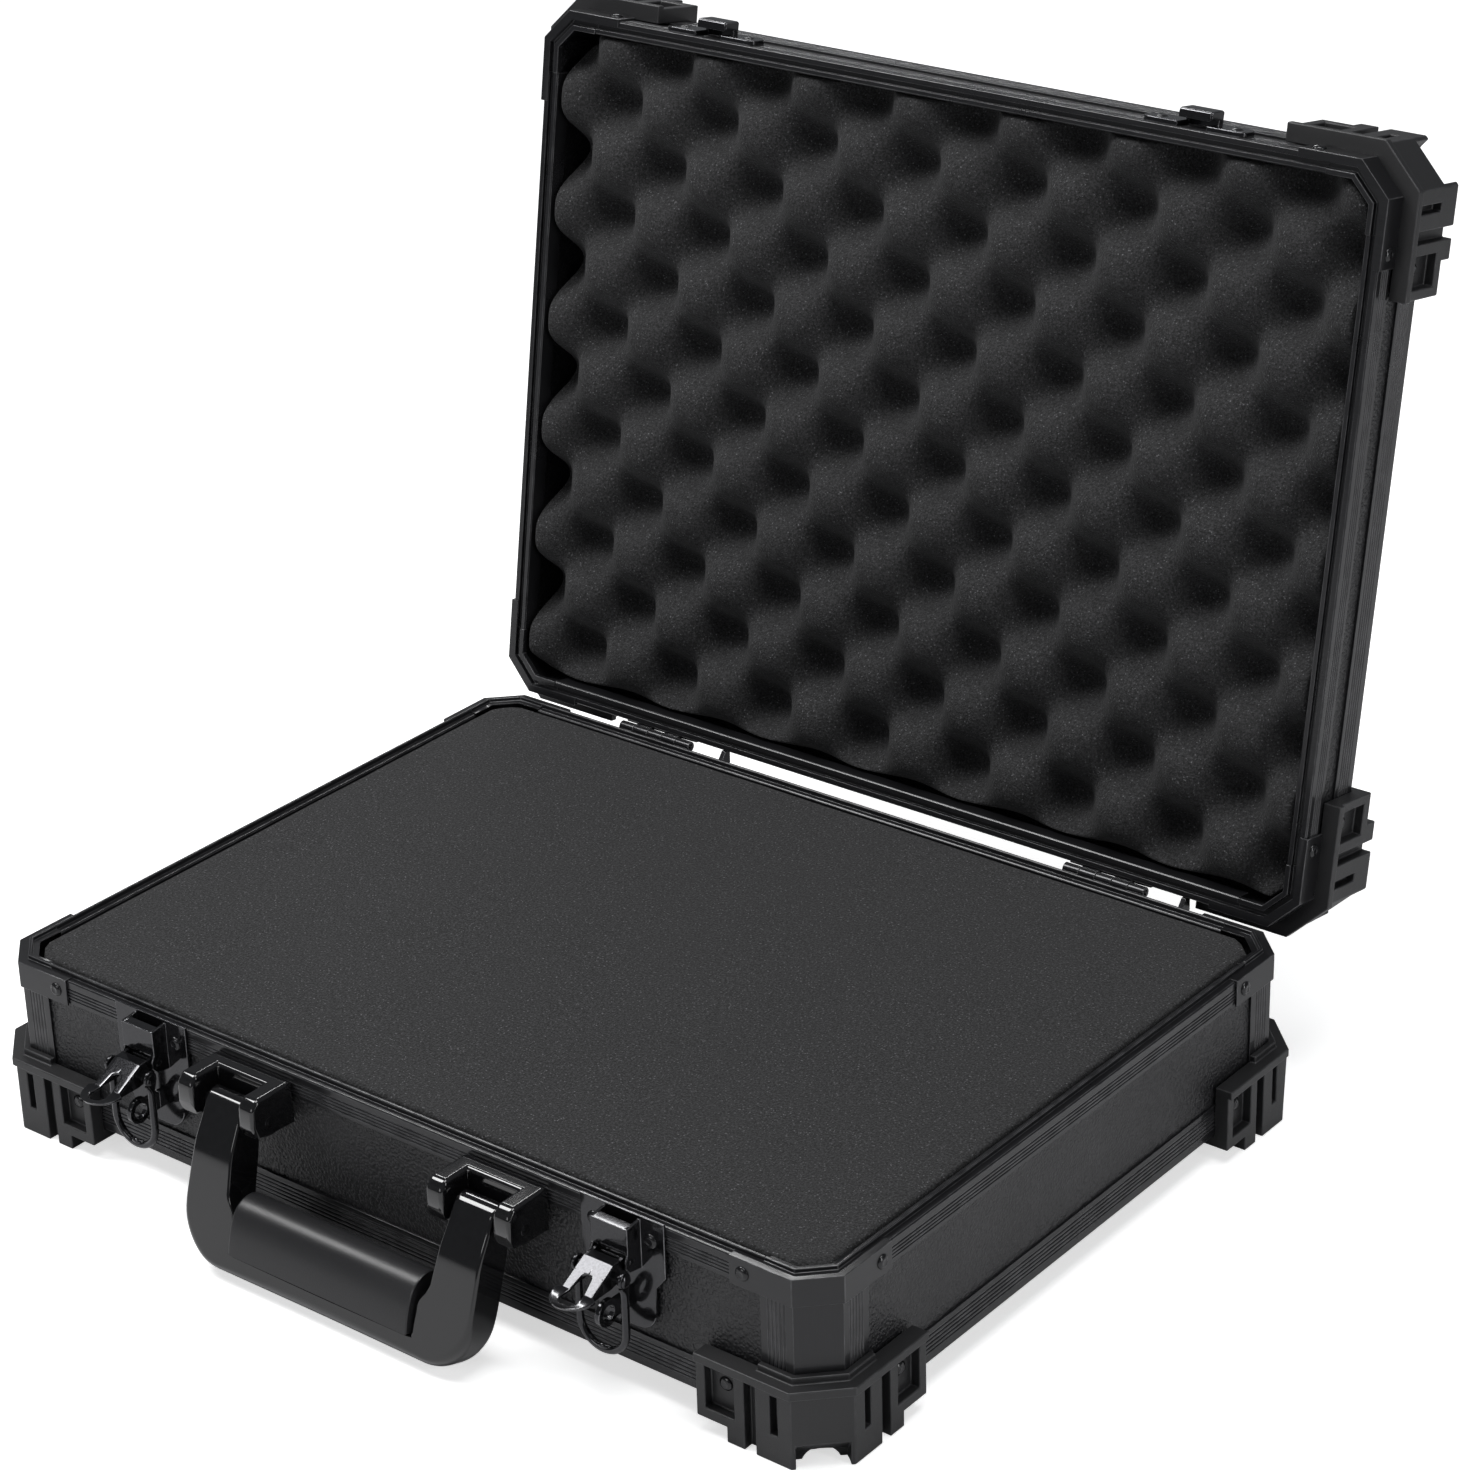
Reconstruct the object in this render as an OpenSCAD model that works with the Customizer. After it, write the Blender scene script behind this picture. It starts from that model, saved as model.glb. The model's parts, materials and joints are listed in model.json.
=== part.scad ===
// Hard attache case with an aluminium frame: shallow lid on a deeper base, two
// toggle latches, a swinging carry handle and foam in both halves.
// Modelled with the lid standing open on its stops. +Z is up and -Y is the front.

/* [Case] */
// Width over the wall faces, left to right
case_w = 460; // [420:1:500]
// Depth over the wall faces, front to back
case_d = 340; // [310:1:370]
// Height of the base, from its underside to the parting plane
base_h = 72; // [66:1:90]
// Height of the lid, from the parting plane to its top face
lid_h = 38; // [38:1:60]
// Corner chamfer, measured along each wall
corner_cut = 14; // [12:0.5:18]
// Thickness of the wall panels
panel_t = 3; // [2.5:0.5:3.5]
// Angle at which the open lid stands on its stops
lid_open = 99.3; // [92:0.1:105]

/* [Frame] */
// Height of the ribbed frame bands at the parting plane
rim_h = 12; // [10:0.5:13]
// Height of the ribbed frame bands along the outer edges
edge_h = 16; // [12:0.5:17]
// Clearance of each half from the parting plane
part_gap = 0.2; // [0.2:0.05:0.5]

/* [Bumpers] */
// Length of a corner bumper along each wall
bumper_len = 58; // [50:1:64]
// How far a bumper stands out of the walls
bumper_out = 7; // [5:0.5:8]
// How far a bumper stands out of the bottom or top face
foot_drop = 12; // [8:0.5:14]

/* [Latches and handle] */
// Distance from the centre plane to each latch
latch_x = 132.5; // [115:0.5:145]
// Distance from the centre plane to each handle bracket
bracket_x = 71; // [60:0.5:76]
// Lean of the hanging handle away from the front wall
handle_lean = 18; // [18:0.5:22]
// Droop of the latch levers below the horizontal
lever_droop = 29; // [20:0.5:35]

/* [Hinges] */
// Distance from the centre plane to the middle of each hinge
hinge_x = 132; // [110:1:150]
// Width of each hinge
hinge_w = 44; // [36:1:50]

/* [Hidden] */
$fn = 48;

// Small steps shared by the frame parts
skin_t = 1.2;           // leg of a frame extrusion that laps over a panel
web_t = 3.8;            // solid web of a rim rail, next to the parting plane
rail_face = 0.8;        // rail faces keep this far from the parting plane
tongue_top = 1.6;       // height of the base tongue over the parting plane
tongue_in = 3.5;        // tongue distance from the wall face
tongue_t = 1.5;
wing = 30;              // where the rails stop short of the corner

// Frame origin: on the floor, under the middle of the open case
rim_z = base_h + foot_drop;
pin_y = case_d / 2 + 2.8;
pin_z = -0.8;
front_reach = case_d / 2 + 42.5;
tip_y = -(pin_y + case_d / 2 + bumper_out);
tip_z = lid_h + foot_drop - pin_z;
rear_reach = pin_y + tip_y * cos(lid_open) + tip_z * sin(lid_open);
shift_y = (front_reach - rear_reach) / 2;

// Latch geometry, measured from the parting plane and the front wall face
lever_pin = [-case_d / 2 - 7.5, -17.5];
rod_at = [8.5, 1];      // rod on the lever: along it, and off it
lever_roof = 6.3;       // lever plate top over its pivot
plate_t = 1.5;
bail_wire = 3.4;
bail_half = 12;
bail_len = 38;
eye_at = [-case_d / 2 - 13, -41.5];

// Handle geometry, in the plane of the hanging handle
handle_pin = [-case_d / 2 - 15.3, -16.8];
handle_half = 81;
handle_drop = 68;
handle_t = 18;
grip_half = 51.5;
grip_low = -58;

// ---------- placing ----------

module placed() {
  translate([0, shift_y, rim_z]) children();
}

module on_lid() {
  placed()
    translate([0, pin_y, pin_z])
      rotate([-lid_open, 0, 0])
        translate([0, -pin_y, -pin_z]) children();
}

// The lid shell is drawn like the base, hanging below the parting plane
module lid_shell() {
  on_lid() mirror([0, 0, 1]) children();
}

// Takes a shape at the front right corner to any corner
module at_corner(sx, sy) {
  mirror([sx > 0 ? 0 : 1, 0, 0]) mirror([0, sy < 0 ? 0 : 1, 0]) children();
}

module at_all_corners() {
  for (sx = [-1, 1], sy = [-1, 1]) at_corner(sx, sy) children();
}

// Runs an outline of [inward, up] points along one wall: 0 front, 1 right, 2 back, 3 left
function wall_reach(side) = (side % 2 == 0 ? case_d : case_w) / 2;
function wall_span(side) = side % 2 == 0 ? case_w : case_d;
module along_wall(side, length, points) {
  rotate([0, 0, 90 * side])
    translate([-length / 2, -wall_reach(side), 0])
      rotate([90, 0, 90]) linear_extrude(length) polygon(points);
}

// Octagonal plan of the case, set in from the wall faces
function plan_cut(inset) = max(2, corner_cut - inset * (2 - sqrt(2)));
module plan(inset) {
  w = case_w / 2 - inset;
  d = case_d / 2 - inset;
  c = plan_cut(inset);
  polygon([
    [-w + c, -d], [w - c, -d], [w, -d + c], [w, d - c],
    [w - c, d], [-w + c, d], [-w, d - c], [-w, -d + c]
  ]);
}

// Part of a wall-following ring that lies within a distance of the front right corner
module corner_ring(outer, inner, reach, z0, z1) {
  translate([0, 0, z0]) linear_extrude(z1 - z0) intersection() {
    difference() {
      plan(outer);
      plan(inner);
    }
    translate([case_w / 2 - reach, -case_d / 2 - 20]) square([reach + 20, reach + 20]);
  }
}

// ---------- frame extrusions ----------

// V grooves down the outer face of a band, as [depth, height] points
function grooves(z0, count, pitch, depth) = [
  for (i = [0 : count - 1], k = [0 : 2])
    [k == 1 ? depth : 0, z0 + i * pitch + (k - 1) * 0.32 * pitch]
];

// Rim rail: grooved outer leg, web, inner leg, and a tongue or a groove on its face
function base_rim_points() = concat(
  [[0, -rim_h]], grooves(-rim_h + 2.4, 4, 1.6, 0.5),
  [
    [0, -rail_face - 0.6], [0.6, -rail_face], [tongue_in, -rail_face],
    [tongue_in, tongue_top - 0.4], [tongue_in + 0.4, tongue_top],
    [tongue_in + tongue_t - 0.4, tongue_top], [tongue_in + tongue_t, tongue_top - 0.4],
    [tongue_in + tongue_t, -rail_face], [7.4, -rail_face], [8, -rail_face - 0.6],
    [8, -rim_h + 2], [skin_t + panel_t, -rim_h + 2], [skin_t + panel_t, -rail_face - web_t],
    [skin_t, -rail_face - web_t], [skin_t, -rim_h]
  ]
);
function lid_rim_points() = concat(
  [[0, -rim_h]], grooves(-rim_h + 2.4, 4, 1.6, 0.5),
  [
    [0, -rail_face - 0.6], [0.6, -rail_face], [tongue_in - 0.5, -rail_face],
    [tongue_in - 0.5, -rail_face - 2], [tongue_in + tongue_t + 0.5, -rail_face - 2],
    [tongue_in + tongue_t + 0.5, -rail_face], [7.4, -rail_face], [8, -rail_face - 0.6],
    [8, -rim_h + 2], [skin_t + panel_t, -rim_h + 2], [skin_t + panel_t, -rail_face - web_t],
    [skin_t, -rail_face - web_t], [skin_t, -rim_h]
  ]
);

// Edge rail: an angle over the outer edge, grooved up its wall face
function edge_points(height) = concat(
  [[skin_t, -height + edge_h], [0, -height + edge_h]],
  [for (p = grooves(height - edge_h + 3, 5, 1.9, 0.5)) [p[0], -p[1]]],
  [
    [0, -height + 1], [1, -height], [edge_h, -height], [edge_h, -height + skin_t],
    [skin_t, -height + skin_t]
  ]
);

module rim_rail(side, points) {
  color("dimgray") along_wall(side, wall_span(side) - 2 * wing, points);
}

module edge_rails(height) {
  color("dimgray")
    for (side = [0 : 3]) along_wall(side, wall_span(side) - 2 * wing, edge_points(height));
}

// Corner post: chamfer strip between two grooved wings
module corner_posts(z0, z1) {
  inner = skin_t + panel_t;
  w = case_w / 2;
  d = case_d / 2;
  c = plan_cut(inner);
  wing_face = [for (p = grooves(4, 5, 1.9, 0.5)) [w - wing + p[1], -d + p[0]]];
  side_face = [for (p = grooves(wing - corner_cut - 12, 5, 1.9, 0.5))
    [w - p[0], -d + corner_cut + p[1]]];
  color("dimgray") at_all_corners()
    translate([0, 0, z0]) linear_extrude(z1 - z0) polygon(concat(
      [[w - wing, -d]], wing_face, [[w - corner_cut, -d], [w, -d + corner_cut]], side_face,
      [
        [w, -d + wing], [w - skin_t, -d + wing], [w - skin_t, -d + inner + c],
        [w - inner, -d + inner + c], [w - inner - c, -d + inner],
        [w - inner - c, -d + skin_t], [w - wing, -d + skin_t]
      ]
    ));
}

// Corner cap: pressed cover over the ends of two rim rails
cap_len = 44;
module corner_caps(raised) {
  top = -part_gap;
  lap = raised ? tongue_in : tongue_in - 0.5;
  skirt = min(rim_h + 1, lid_h - bumper_up);
  color("dimgray") at_all_corners() union() {
    corner_ring(-skin_t, 0, cap_len, -skirt, top);
    corner_ring(-skin_t, lap, cap_len, -rail_face, top);
    if (raised) {
      corner_ring(-skin_t, 8, wing, -rail_face, top);
      corner_ring(tongue_in, tongue_in + tongue_t, wing, -rail_face, tongue_top);
    } else {
      // the inner legs run on round the corner, with a slot for the base's tongue
      corner_ring(-skin_t, lap, wing, -3.2, top);
      corner_ring(-skin_t, 8, wing, -3.2, -rail_face - 2);
      corner_ring(tongue_in + tongue_t + 0.5, 8, wing, -3.2, top);
    }
  }
}

// ---------- panels and foam ----------

module wall_panel(side, height) {
  length = wall_span(side) - 2 * (skin_t + panel_t + plan_cut(skin_t + panel_t));
  color("#303032") along_wall(side, length, [
    [skin_t, -height + skin_t], [skin_t + panel_t, -height + skin_t],
    [skin_t + panel_t, -rail_face - web_t], [skin_t, -rail_face - web_t]
  ]);
}

module face_panel(height) {
  color("#303032")
    translate([0, 0, -height + skin_t]) linear_extrude(panel_t) plan(skin_t + panel_t);
}

foam_in = 9.5;
module foam_block(z0, z1) {
  color("#202022") translate([0, 0, z0]) linear_extrude(z1 - z0) plan(foam_in);
}

// ---------- corner bumper, standing on the outer face at z = 0 ----------

bumper_up = 25;
step_len = 43;
rivet_at = 46;
// A collar round the post tops it where the half is tall enough
module bumper(height) {
  flange = bumper_out + 1.5;
  collar = min(3, height - bumper_up - rim_h - 1);
  color("#1c1c1e") difference() {
    union() {
      corner_ring(-bumper_out, 24, step_len, -foot_drop, 0);
      corner_ring(-bumper_out, 12, bumper_len, -5, 0);
      corner_ring(-bumper_out, 0, bumper_len, 0, bumper_up - 4);
      corner_ring(-flange, 0, bumper_len, bumper_up - 4, bumper_up);
      if (collar > 0) corner_ring(-3, 0, wing, bumper_up, bumper_up + collar);
    }
    for (turn = [0, 1]) mirror_diagonal(turn) {
      bumper_pocket(bumper_len - 4.5, 14.5, 0, bumper_up - 5);
      bumper_pocket(34, 5.5, -foot_drop - 1, bumper_up - 5);
      bumper_pocket(21.2, 3.7, 1, bumper_up - 6);
    }
    across_corner() {
      translate([0, -foot_drop - 3]) circle(r = 8);
    }
    along_corner() polygon([
      [1, 0], [1, -foot_drop - 1], [-7, -foot_drop - 1], [-7, -foot_drop + 4]
    ]);
  }
}

// Recess in the bumper's outer face; from_end is its far edge, measured from the corner
module bumper_pocket(from_end, width, z0, z1) {
  translate([case_w / 2 - from_end, -case_d / 2 - bumper_out - 1, z0])
    cube([width, bumper_out - 1.5, z1 - z0]);
}

// Extrudes a profile right through the corner, along its diagonal
module across_corner() {
  translate([case_w / 2 - 4, -case_d / 2 + 4, 0]) rotate([90, 0, 45])
    linear_extrude(90, center = true) children();
}

// Extrudes a profile along the chamfered face, from the face outwards
module along_corner() {
  half = (corner_cut + bumper_out * (2 - sqrt(2))) / sqrt(2);
  translate([case_w / 2 - corner_cut / 2, -case_d / 2 + corner_cut / 2, 0])
    rotate([0, 0, -45]) translate([bumper_out, 0, 0]) rotate([90, 0, 0])
    linear_extrude(2 * half - 4, center = true) children();
}

// Swaps the two walls that meet at the front right corner
module mirror_diagonal(turn) {
  if (turn == 0) children();
  else translate([case_w / 2, -case_d / 2, 0]) mirror([1, 1, 0])
    translate([-case_w / 2, case_d / 2, 0]) children();
}

module base_bumper(sx, sy) {
  placed() translate([0, 0, -base_h]) at_corner(sx, sy) bumper(base_h);
}

module lid_bumper(sx, sy) {
  lid_shell() translate([0, 0, -lid_h]) at_corner(sx, sy) bumper(lid_h);
}

// ---------- rivets ----------

// Head on a wall face: across is along the wall, up is height, out is the face it sits on
rivet_r = 3.2;
module rivet(side, across, up, out) {
  rotate([0, 0, 90 * side])
    translate([across, -wall_reach(side) - out, up])
      rotate([90, 0, 0]) cylinder(h = 1.3, r1 = rivet_r, r2 = rivet_r - 1.1);
}

// Two rivets at each corner cap and each bumper, all round one half
module shell_rivets(height) {
  cap_from_end = 37.5;
  for (side = [0 : 3], s = [-1, 1]) {
    rivet(side, s * (wall_span(side) / 2 - cap_from_end), -6.5, skin_t);
    rivet(side, s * (wall_span(side) / 2 - rivet_at), -height + 12, bumper_out - 4.5);
  }
}

module leaf_rivets() {
  for (s = [-1, 1], k = [-1 : 1]) rivet(2, s * hinge_x + k * 14, -12, leaf_t);
}

module base_rivets() {
  color("#3a3a3c") placed() {
    shell_rivets(base_h);
    leaf_rivets();
    for (s = [-1, 1], k = [-1, 1]) rivet(0, s * latch_x + k * 14.5, -8.7, plate_t);
  }
}

module lid_rivets() {
  color("#3a3a3c") lid_shell() {
    shell_rivets(lid_h);
    leaf_rivets();
    for (s = [-1, 1], k = [-1, 1]) rivet(0, s * latch_x + k * 19, -8, plate_t);
  }
}

// ---------- hinges ----------

leaf_t = 1.4;
leaf_low = 20;
knuckle_r = 2.6;
knuckle_count = 5;
hinge_pin_r = 1.3;
stop_t = 2.5;

module knuckles(parity, tab_z0, tab_z1, bore_r) {
  pitch = hinge_w / knuckle_count;
  difference() {
    for (i = [parity : 2 : knuckle_count - 1]) translate([-hinge_w / 2 + i * pitch + 0.15, 0, 0]) {
      translate([0, pin_y, pin_z]) rotate([0, 90, 0]) cylinder(h = pitch - 0.3, r = knuckle_r);
      translate([0, case_d / 2, tab_z0]) cube([pitch - 0.3, leaf_t, tab_z1 - tab_z0]);
    }
    translate([-hinge_w, pin_y, pin_z]) rotate([0, 90, 0]) cylinder(h = 2 * hinge_w, r = bore_r);
  }
}

// Fixed leaf: plate on the back wall, three knuckles and the stop the lid leans on
module hinge_base_leaf(x) {
  stop_x = 39;
  rest = lid_open - 90;
  stop_top = pin_z + 2.5 - 6 * tan(rest);
  color("#2a2a2c") placed() translate([x, 0, 0]) union() {
    translate([-hinge_w / 2, case_d / 2, -leaf_low])
      cube([hinge_w / 2 + stop_x + stop_t, leaf_t, leaf_low - 4.2]);
    knuckles(0, -5, pin_z, hinge_pin_r);
    translate([stop_x, case_d / 2, 0]) rotate([90, 0, 90]) linear_extrude(stop_t)
      polygon([[0, -12], [9, -6], [9, stop_top], [5.5, stop_top + 0.3], [leaf_t, -4.2], [0, -4.2]]);
  }
}

module hinge_lid_leaf(x) {
  color("#2a2a2c") on_lid() translate([x, 0, 0]) union() {
    translate([-hinge_w / 2, case_d / 2, 3]) cube([hinge_w, leaf_t, leaf_low - 3]);
    knuckles(1, pin_z, 4, hinge_pin_r + 0.05);
  }
}

module hinge_pins() {
  color("silver") placed() for (s = [-1, 1])
    translate([s * hinge_x - hinge_w / 2, pin_y, pin_z]) rotate([0, 90, 0])
      cylinder(h = hinge_w, r = hinge_pin_r);
}

// ---------- carry handle ----------

ear_t = 9;
slot_w = 27;
handle_pin_r = 2.5;
bracket_low = -24;

module bracket_outline() {
  nose = handle_pin[0] + case_d / 2;
  polygon([
    [0, -4], [nose - 6, -4], [nose - 9.5, -8], [nose - 9.7, -16], [nose - 7, -22.5],
    [nose - 5, bracket_low + 1], [0, bracket_low]
  ]);
}

module handle_bracket(s) {
  width = slot_w + 2 * ear_t;
  color("#111112") placed() difference() {
    translate([s * bracket_x - width / 2, -case_d / 2, 0]) rotate([90, 0, 90])
      linear_extrude(width) bracket_outline();
    translate([s * bracket_x - slot_w / 2, -case_d / 2 - 40, -40]) cube([slot_w, 31.7, 60]);
    translate([s * bracket_x, handle_pin[0], handle_pin[1]]) rotate([0, 90, 0])
      cylinder(h = 2 * width, r = handle_pin_r, center = true);
  }
}

module handle_pins() {
  width = slot_w + 2 * ear_t;
  color("silver") placed() for (s = [-1, 1])
    translate([s * bracket_x, handle_pin[0], handle_pin[1]]) rotate([0, 90, 0])
      cylinder(h = width, r = handle_pin_r, center = true);
}

module hang_handle() {
  placed() translate([0, handle_pin[0], handle_pin[1]]) rotate([-handle_lean, 0, 0]) children();
}

// Side profile of the frame: round head at the pivot, thicker below
module handle_side() {
  head = 6.4;
  front = -handle_t / 2 - 1;
  back = handle_t / 2 - 1;
  polygon(concat(
    [for (a = [-20 : 20 : 200]) head * [cos(a), sin(a)]],
    [
      [front, -20], [front, -handle_drop + 6], [front + 4, -handle_drop],
      [back - 5, -handle_drop], [back, -handle_drop + 6], [back, -18]
    ]
  ));
}

module handle_front_outline() {
  corner = 22;
  difference() {
    union() {
      translate([-handle_half, -handle_drop + corner])
        square([2 * handle_half, handle_drop - corner + 10]);
      translate([-handle_half + corner, -handle_drop]) square([2 * (handle_half - corner), 40]);
      for (s = [-1, 1]) translate([s * (handle_half - corner), -handle_drop + corner])
        circle(r = corner);
    }
    polygon([
      [-60, 20], [-58.5, -18], [-57, -34], [-grip_half, -43], [-grip_half, grip_low],
      [grip_half, grip_low], [grip_half, -43], [57, -34], [58.5, -18], [60, 20]
    ]);
  }
}

module handle_frame() {
  color("#111112") hang_handle() difference() {
    intersection() {
      rotate([90, 0, 0]) linear_extrude(60, center = true) handle_front_outline();
      rotate([90, 0, 90]) linear_extrude(200, center = true) handle_side();
    }
    rotate([0, 90, 0]) cylinder(h = 200, r = handle_pin_r + 0.05, center = true);
  }
}

module handle_grip() {
  color("#2b2b2d") hang_handle() rotate([90, 0, 90])
    linear_extrude(2 * grip_half, center = true) polygon([
      [-11.5, grip_low], [7.5, grip_low], [7.5, -37.2], [4, -32.7], [-1, -31.2], [-6, -32.7],
      [-10, -36.7], [-12, -44]
    ]);
}

// ---------- toggle latches ----------

box_half = 9.5;
box_out = 9.6;
latch_pin_r = 1.5;
rod_r = 1.7;

// Mounting plate with a pressed housing and the padlock eye below it
module latch_plate(s) {
  wall = 1.2;
  front = -case_d / 2;
  color("#151516") placed() translate([s * latch_x, front, 0]) difference() {
    union() {
      rotate([90, 0, 0]) linear_extrude(plate_t) latch_plate_outline();
      for (k = [-1, 1]) translate([k * (box_half - wall / 2), 0, 0]) rotate([90, 0, 90])
        linear_extrude(wall, center = true) polygon([
          [-plate_t, -0.5], [-box_out, -1.5], [-box_out, -13.5], [-11, -16], [-11, -19],
          [-8.5, -21.8], [-plate_t, -23]
        ]);
      translate([-box_half, -box_out, -13.5]) cube([2 * box_half, wall, 12]);
      translate([-box_half, -box_out, -2.7]) cube([2 * box_half, 5, wall]);
      padlock_eye();
    }
    translate([0, lever_pin[0] - front, lever_pin[1]]) rotate([0, 90, 0])
      cylinder(h = 40, r = latch_pin_r, center = true);
  }
}

module latch_plate_outline() {
  translate([-21.5, -24]) square([43, 25]);
  polygon([[-21.5, -24], [21.5, -24], [16, -31], [-16, -31]]);
  translate([-16, -43]) square([32, 12.5]);
  translate([-6, -52]) square([12, 10]);
  for (k = [-1, 1]) translate([k * 6, -42]) circle(r = 10);
}

eye_t = 2.5;
module padlock_eye() {
  y = eye_at[0] + case_d / 2;
  rotate([90, 0, 90]) linear_extrude(eye_t, center = true) difference() {
    union() {
      translate([y, eye_at[1]]) circle(r = 6.2);
      translate([y, eye_at[1] - 4]) square([-plate_t - y, 8]);
    }
    translate([y, eye_at[1]]) circle(r = 3.4);
  }
}

module latch_pivot_pins() {
  color("silver") placed() for (s = [-1, 1])
    translate([s * latch_x, lever_pin[0], lever_pin[1]]) rotate([0, 90, 0])
      cylinder(h = 2 * box_half, r = latch_pin_r, center = true);
}

// Moves to a lever's pivot with its length lying along -Y
module on_lever(s) {
  placed() translate([s * latch_x, lever_pin[0], lever_pin[1]])
    rotate([lever_droop, 0, 0]) children();
}

lever_w = 15;
lever_len = 23;
lip_reach = 33;
lip_half = 10.2;
module latch_lever(s) {
  t = plate_t;
  top = lever_roof;
  color("#1a1a1c") on_lever(s) difference() {
    union() {
      translate([-lever_w / 2, -lever_len, top - t]) cube([lever_w, lever_len - 2.8, t]);
      intersection() {
        rotate([90, 0, 90]) linear_extrude(40, center = true) polygon([
          [-lever_len, top - t], [-lever_len, top], [-28, top + 2.2], [-lip_reach, top + 5.4],
          [-lip_reach, top + 5.4 - t], [-28, top + 2.2 - t]
        ]);
        linear_extrude(40) translate([0, -lip_reach + lip_half]) union() {
          circle(r = lip_half);
          translate([-lever_w / 2, 0]) square([lever_w, 12]);
        }
      }
      for (k = [-1, 1]) translate([k * (lever_w - 1.2) / 2, 0, 0]) rotate([90, 0, 90])
        linear_extrude(1.2, center = true) lever_flange();
    }
    rotate([0, 90, 0]) cylinder(h = 40, r = latch_pin_r + 0.05, center = true);
    translate([0, -rod_at[0], rod_at[1]]) rotate([0, 90, 0])
      cylinder(h = 40, r = rod_r + 0.05, center = true);
    keyhole();
  }
}

module lever_flange() {
  circle(r = 3.4);
  polygon([
    [0, 3.4], [-5, lever_roof - plate_t], [-lever_len, lever_roof - plate_t],
    [-lever_len, 4], [-12, -2], [-6, -3.4], [0, -3.4]
  ]);
}

// Slot that drops over the padlock eye
module keyhole() {
  width = 5.4;
  translate([0, 0, -1]) linear_extrude(20) union() {
    translate([0, -17.7]) circle(r = width / 2);
    translate([-width / 2, -30]) square([width, 12.3]);
  }
}

// Cross rod that carries the bail
module latch_rod(s) {
  half = bail_half + 1.1;
  color("silver") on_lever(s) translate([0, -rod_at[0], rod_at[1]]) rotate([0, 90, 0]) union() {
    cylinder(h = 2 * half, r = rod_r, center = true);
    for (k = [-1, 1]) translate([0, 0, k * (half + 0.5)]) cylinder(h = 1, r = 2.9, center = true);
  }
}

// Wire loop: flattened eyes on the rod, two legs and a round end
module latch_bail(s) {
  sweep = cos(lever_droop);
  rise = sin(lever_droop);
  y = lever_pin[0] - rod_at[0] * sweep - rod_at[1] * rise;
  z = lever_pin[1] - rod_at[0] * rise + rod_at[1] * sweep;
  leg = bail_len - bail_half - bail_wire / 2;
  color("#1a1a1c") placed() translate([s * latch_x, y, z]) union() {
    for (k = [-1, 1]) translate([k * (bail_half - 0.4), 0, 0]) difference() {
      union() {
        rotate([0, 90, 0]) cylinder(h = 2.2, r = 3.6, center = true);
        translate([-1.1, -1.7, -7]) cube([2.2, 3.4, 5]);
        translate([k * 0.4, 0, -leg]) cylinder(h = leg - 5.5, d = bail_wire);
      }
      rotate([0, 90, 0]) cylinder(h = 10, r = rod_r + 0.05, center = true);
    }
    translate([0, 0, -leg]) rotate([-90, 0, 0])
      rotate_extrude(angle = 180) translate([bail_half, 0]) circle(d = bail_wire);
  }
}

// Lid hook: riveted strap whose middle curls away from the parting plane
module latch_striker(s) {
  hook_half = 8;
  out = 8;
  color("#151516") on_lid() translate([s * latch_x, -case_d / 2, 0]) union() {
    translate([-26, -plate_t, 2.5]) cube([52, plate_t, 11]);
    translate([-hook_half, 0, 0]) rotate([90, 0, 90]) linear_extrude(2 * hook_half) polygon([
      [-plate_t, 3], [-out + 1, 4.5], [-out - 0.5, 6], [-out - 0.5, 14.5], [-out + 1, 14.5],
      [-out + 1, 7.5], [-plate_t, 6.5]
    ]);
  }
}

// ---------- the nodes ----------

placed() face_panel(base_h);  // base_bottom_panel
placed() wall_panel(0, base_h);  // base_front_panel
placed() wall_panel(2, base_h);  // base_back_panel
placed() wall_panel(3, base_h);  // base_left_panel
placed() wall_panel(1, base_h);  // base_right_panel
placed() rim_rail(0, base_rim_points());  // base_rim_front
placed() rim_rail(2, base_rim_points());  // base_rim_back
placed() rim_rail(3, base_rim_points());  // base_rim_left
placed() rim_rail(1, base_rim_points());  // base_rim_right
placed() edge_rails(base_h);  // base_edge_rails
placed() corner_posts(-base_h, -rail_face);  // base_corner_posts
placed() corner_caps(true);  // base_corner_caps
base_bumper(-1, -1);  // base_bumper_front_left
base_bumper(1, -1);  // base_bumper_front_right
base_bumper(-1, 1);  // base_bumper_back_left
base_bumper(1, 1);  // base_bumper_back_right
placed() foam_block(-base_h + 4.2, -part_gap);  // base_foam
base_rivets();
lid_shell() face_panel(lid_h);  // lid_top_panel
lid_shell() wall_panel(0, lid_h);  // lid_front_panel
lid_shell() wall_panel(2, lid_h);  // lid_back_panel
lid_shell() wall_panel(3, lid_h);  // lid_left_panel
lid_shell() wall_panel(1, lid_h);  // lid_right_panel
lid_shell() rim_rail(0, lid_rim_points());  // lid_rim_front
lid_shell() rim_rail(2, lid_rim_points());  // lid_rim_back
lid_shell() rim_rail(3, lid_rim_points());  // lid_rim_left
lid_shell() rim_rail(1, lid_rim_points());  // lid_rim_right
lid_shell() edge_rails(lid_h);  // lid_edge_rails
lid_shell() corner_posts(-lid_h, -3.2);  // lid_corner_posts
lid_shell() corner_caps(false);  // lid_corner_caps
lid_bumper(-1, -1);  // lid_bumper_front_left
lid_bumper(1, -1);  // lid_bumper_front_right
lid_bumper(-1, 1);  // lid_bumper_back_left
lid_bumper(1, 1);  // lid_bumper_back_right
lid_shell() foam_block(-lid_h + 4.2, -1.5);  // lid_foam
lid_rivets();
hinge_base_leaf(-hinge_x);  // hinge_base_leaf_left
hinge_base_leaf(hinge_x);  // hinge_base_leaf_right
hinge_lid_leaf(-hinge_x);  // hinge_lid_leaf_left
hinge_lid_leaf(hinge_x);  // hinge_lid_leaf_right
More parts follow.
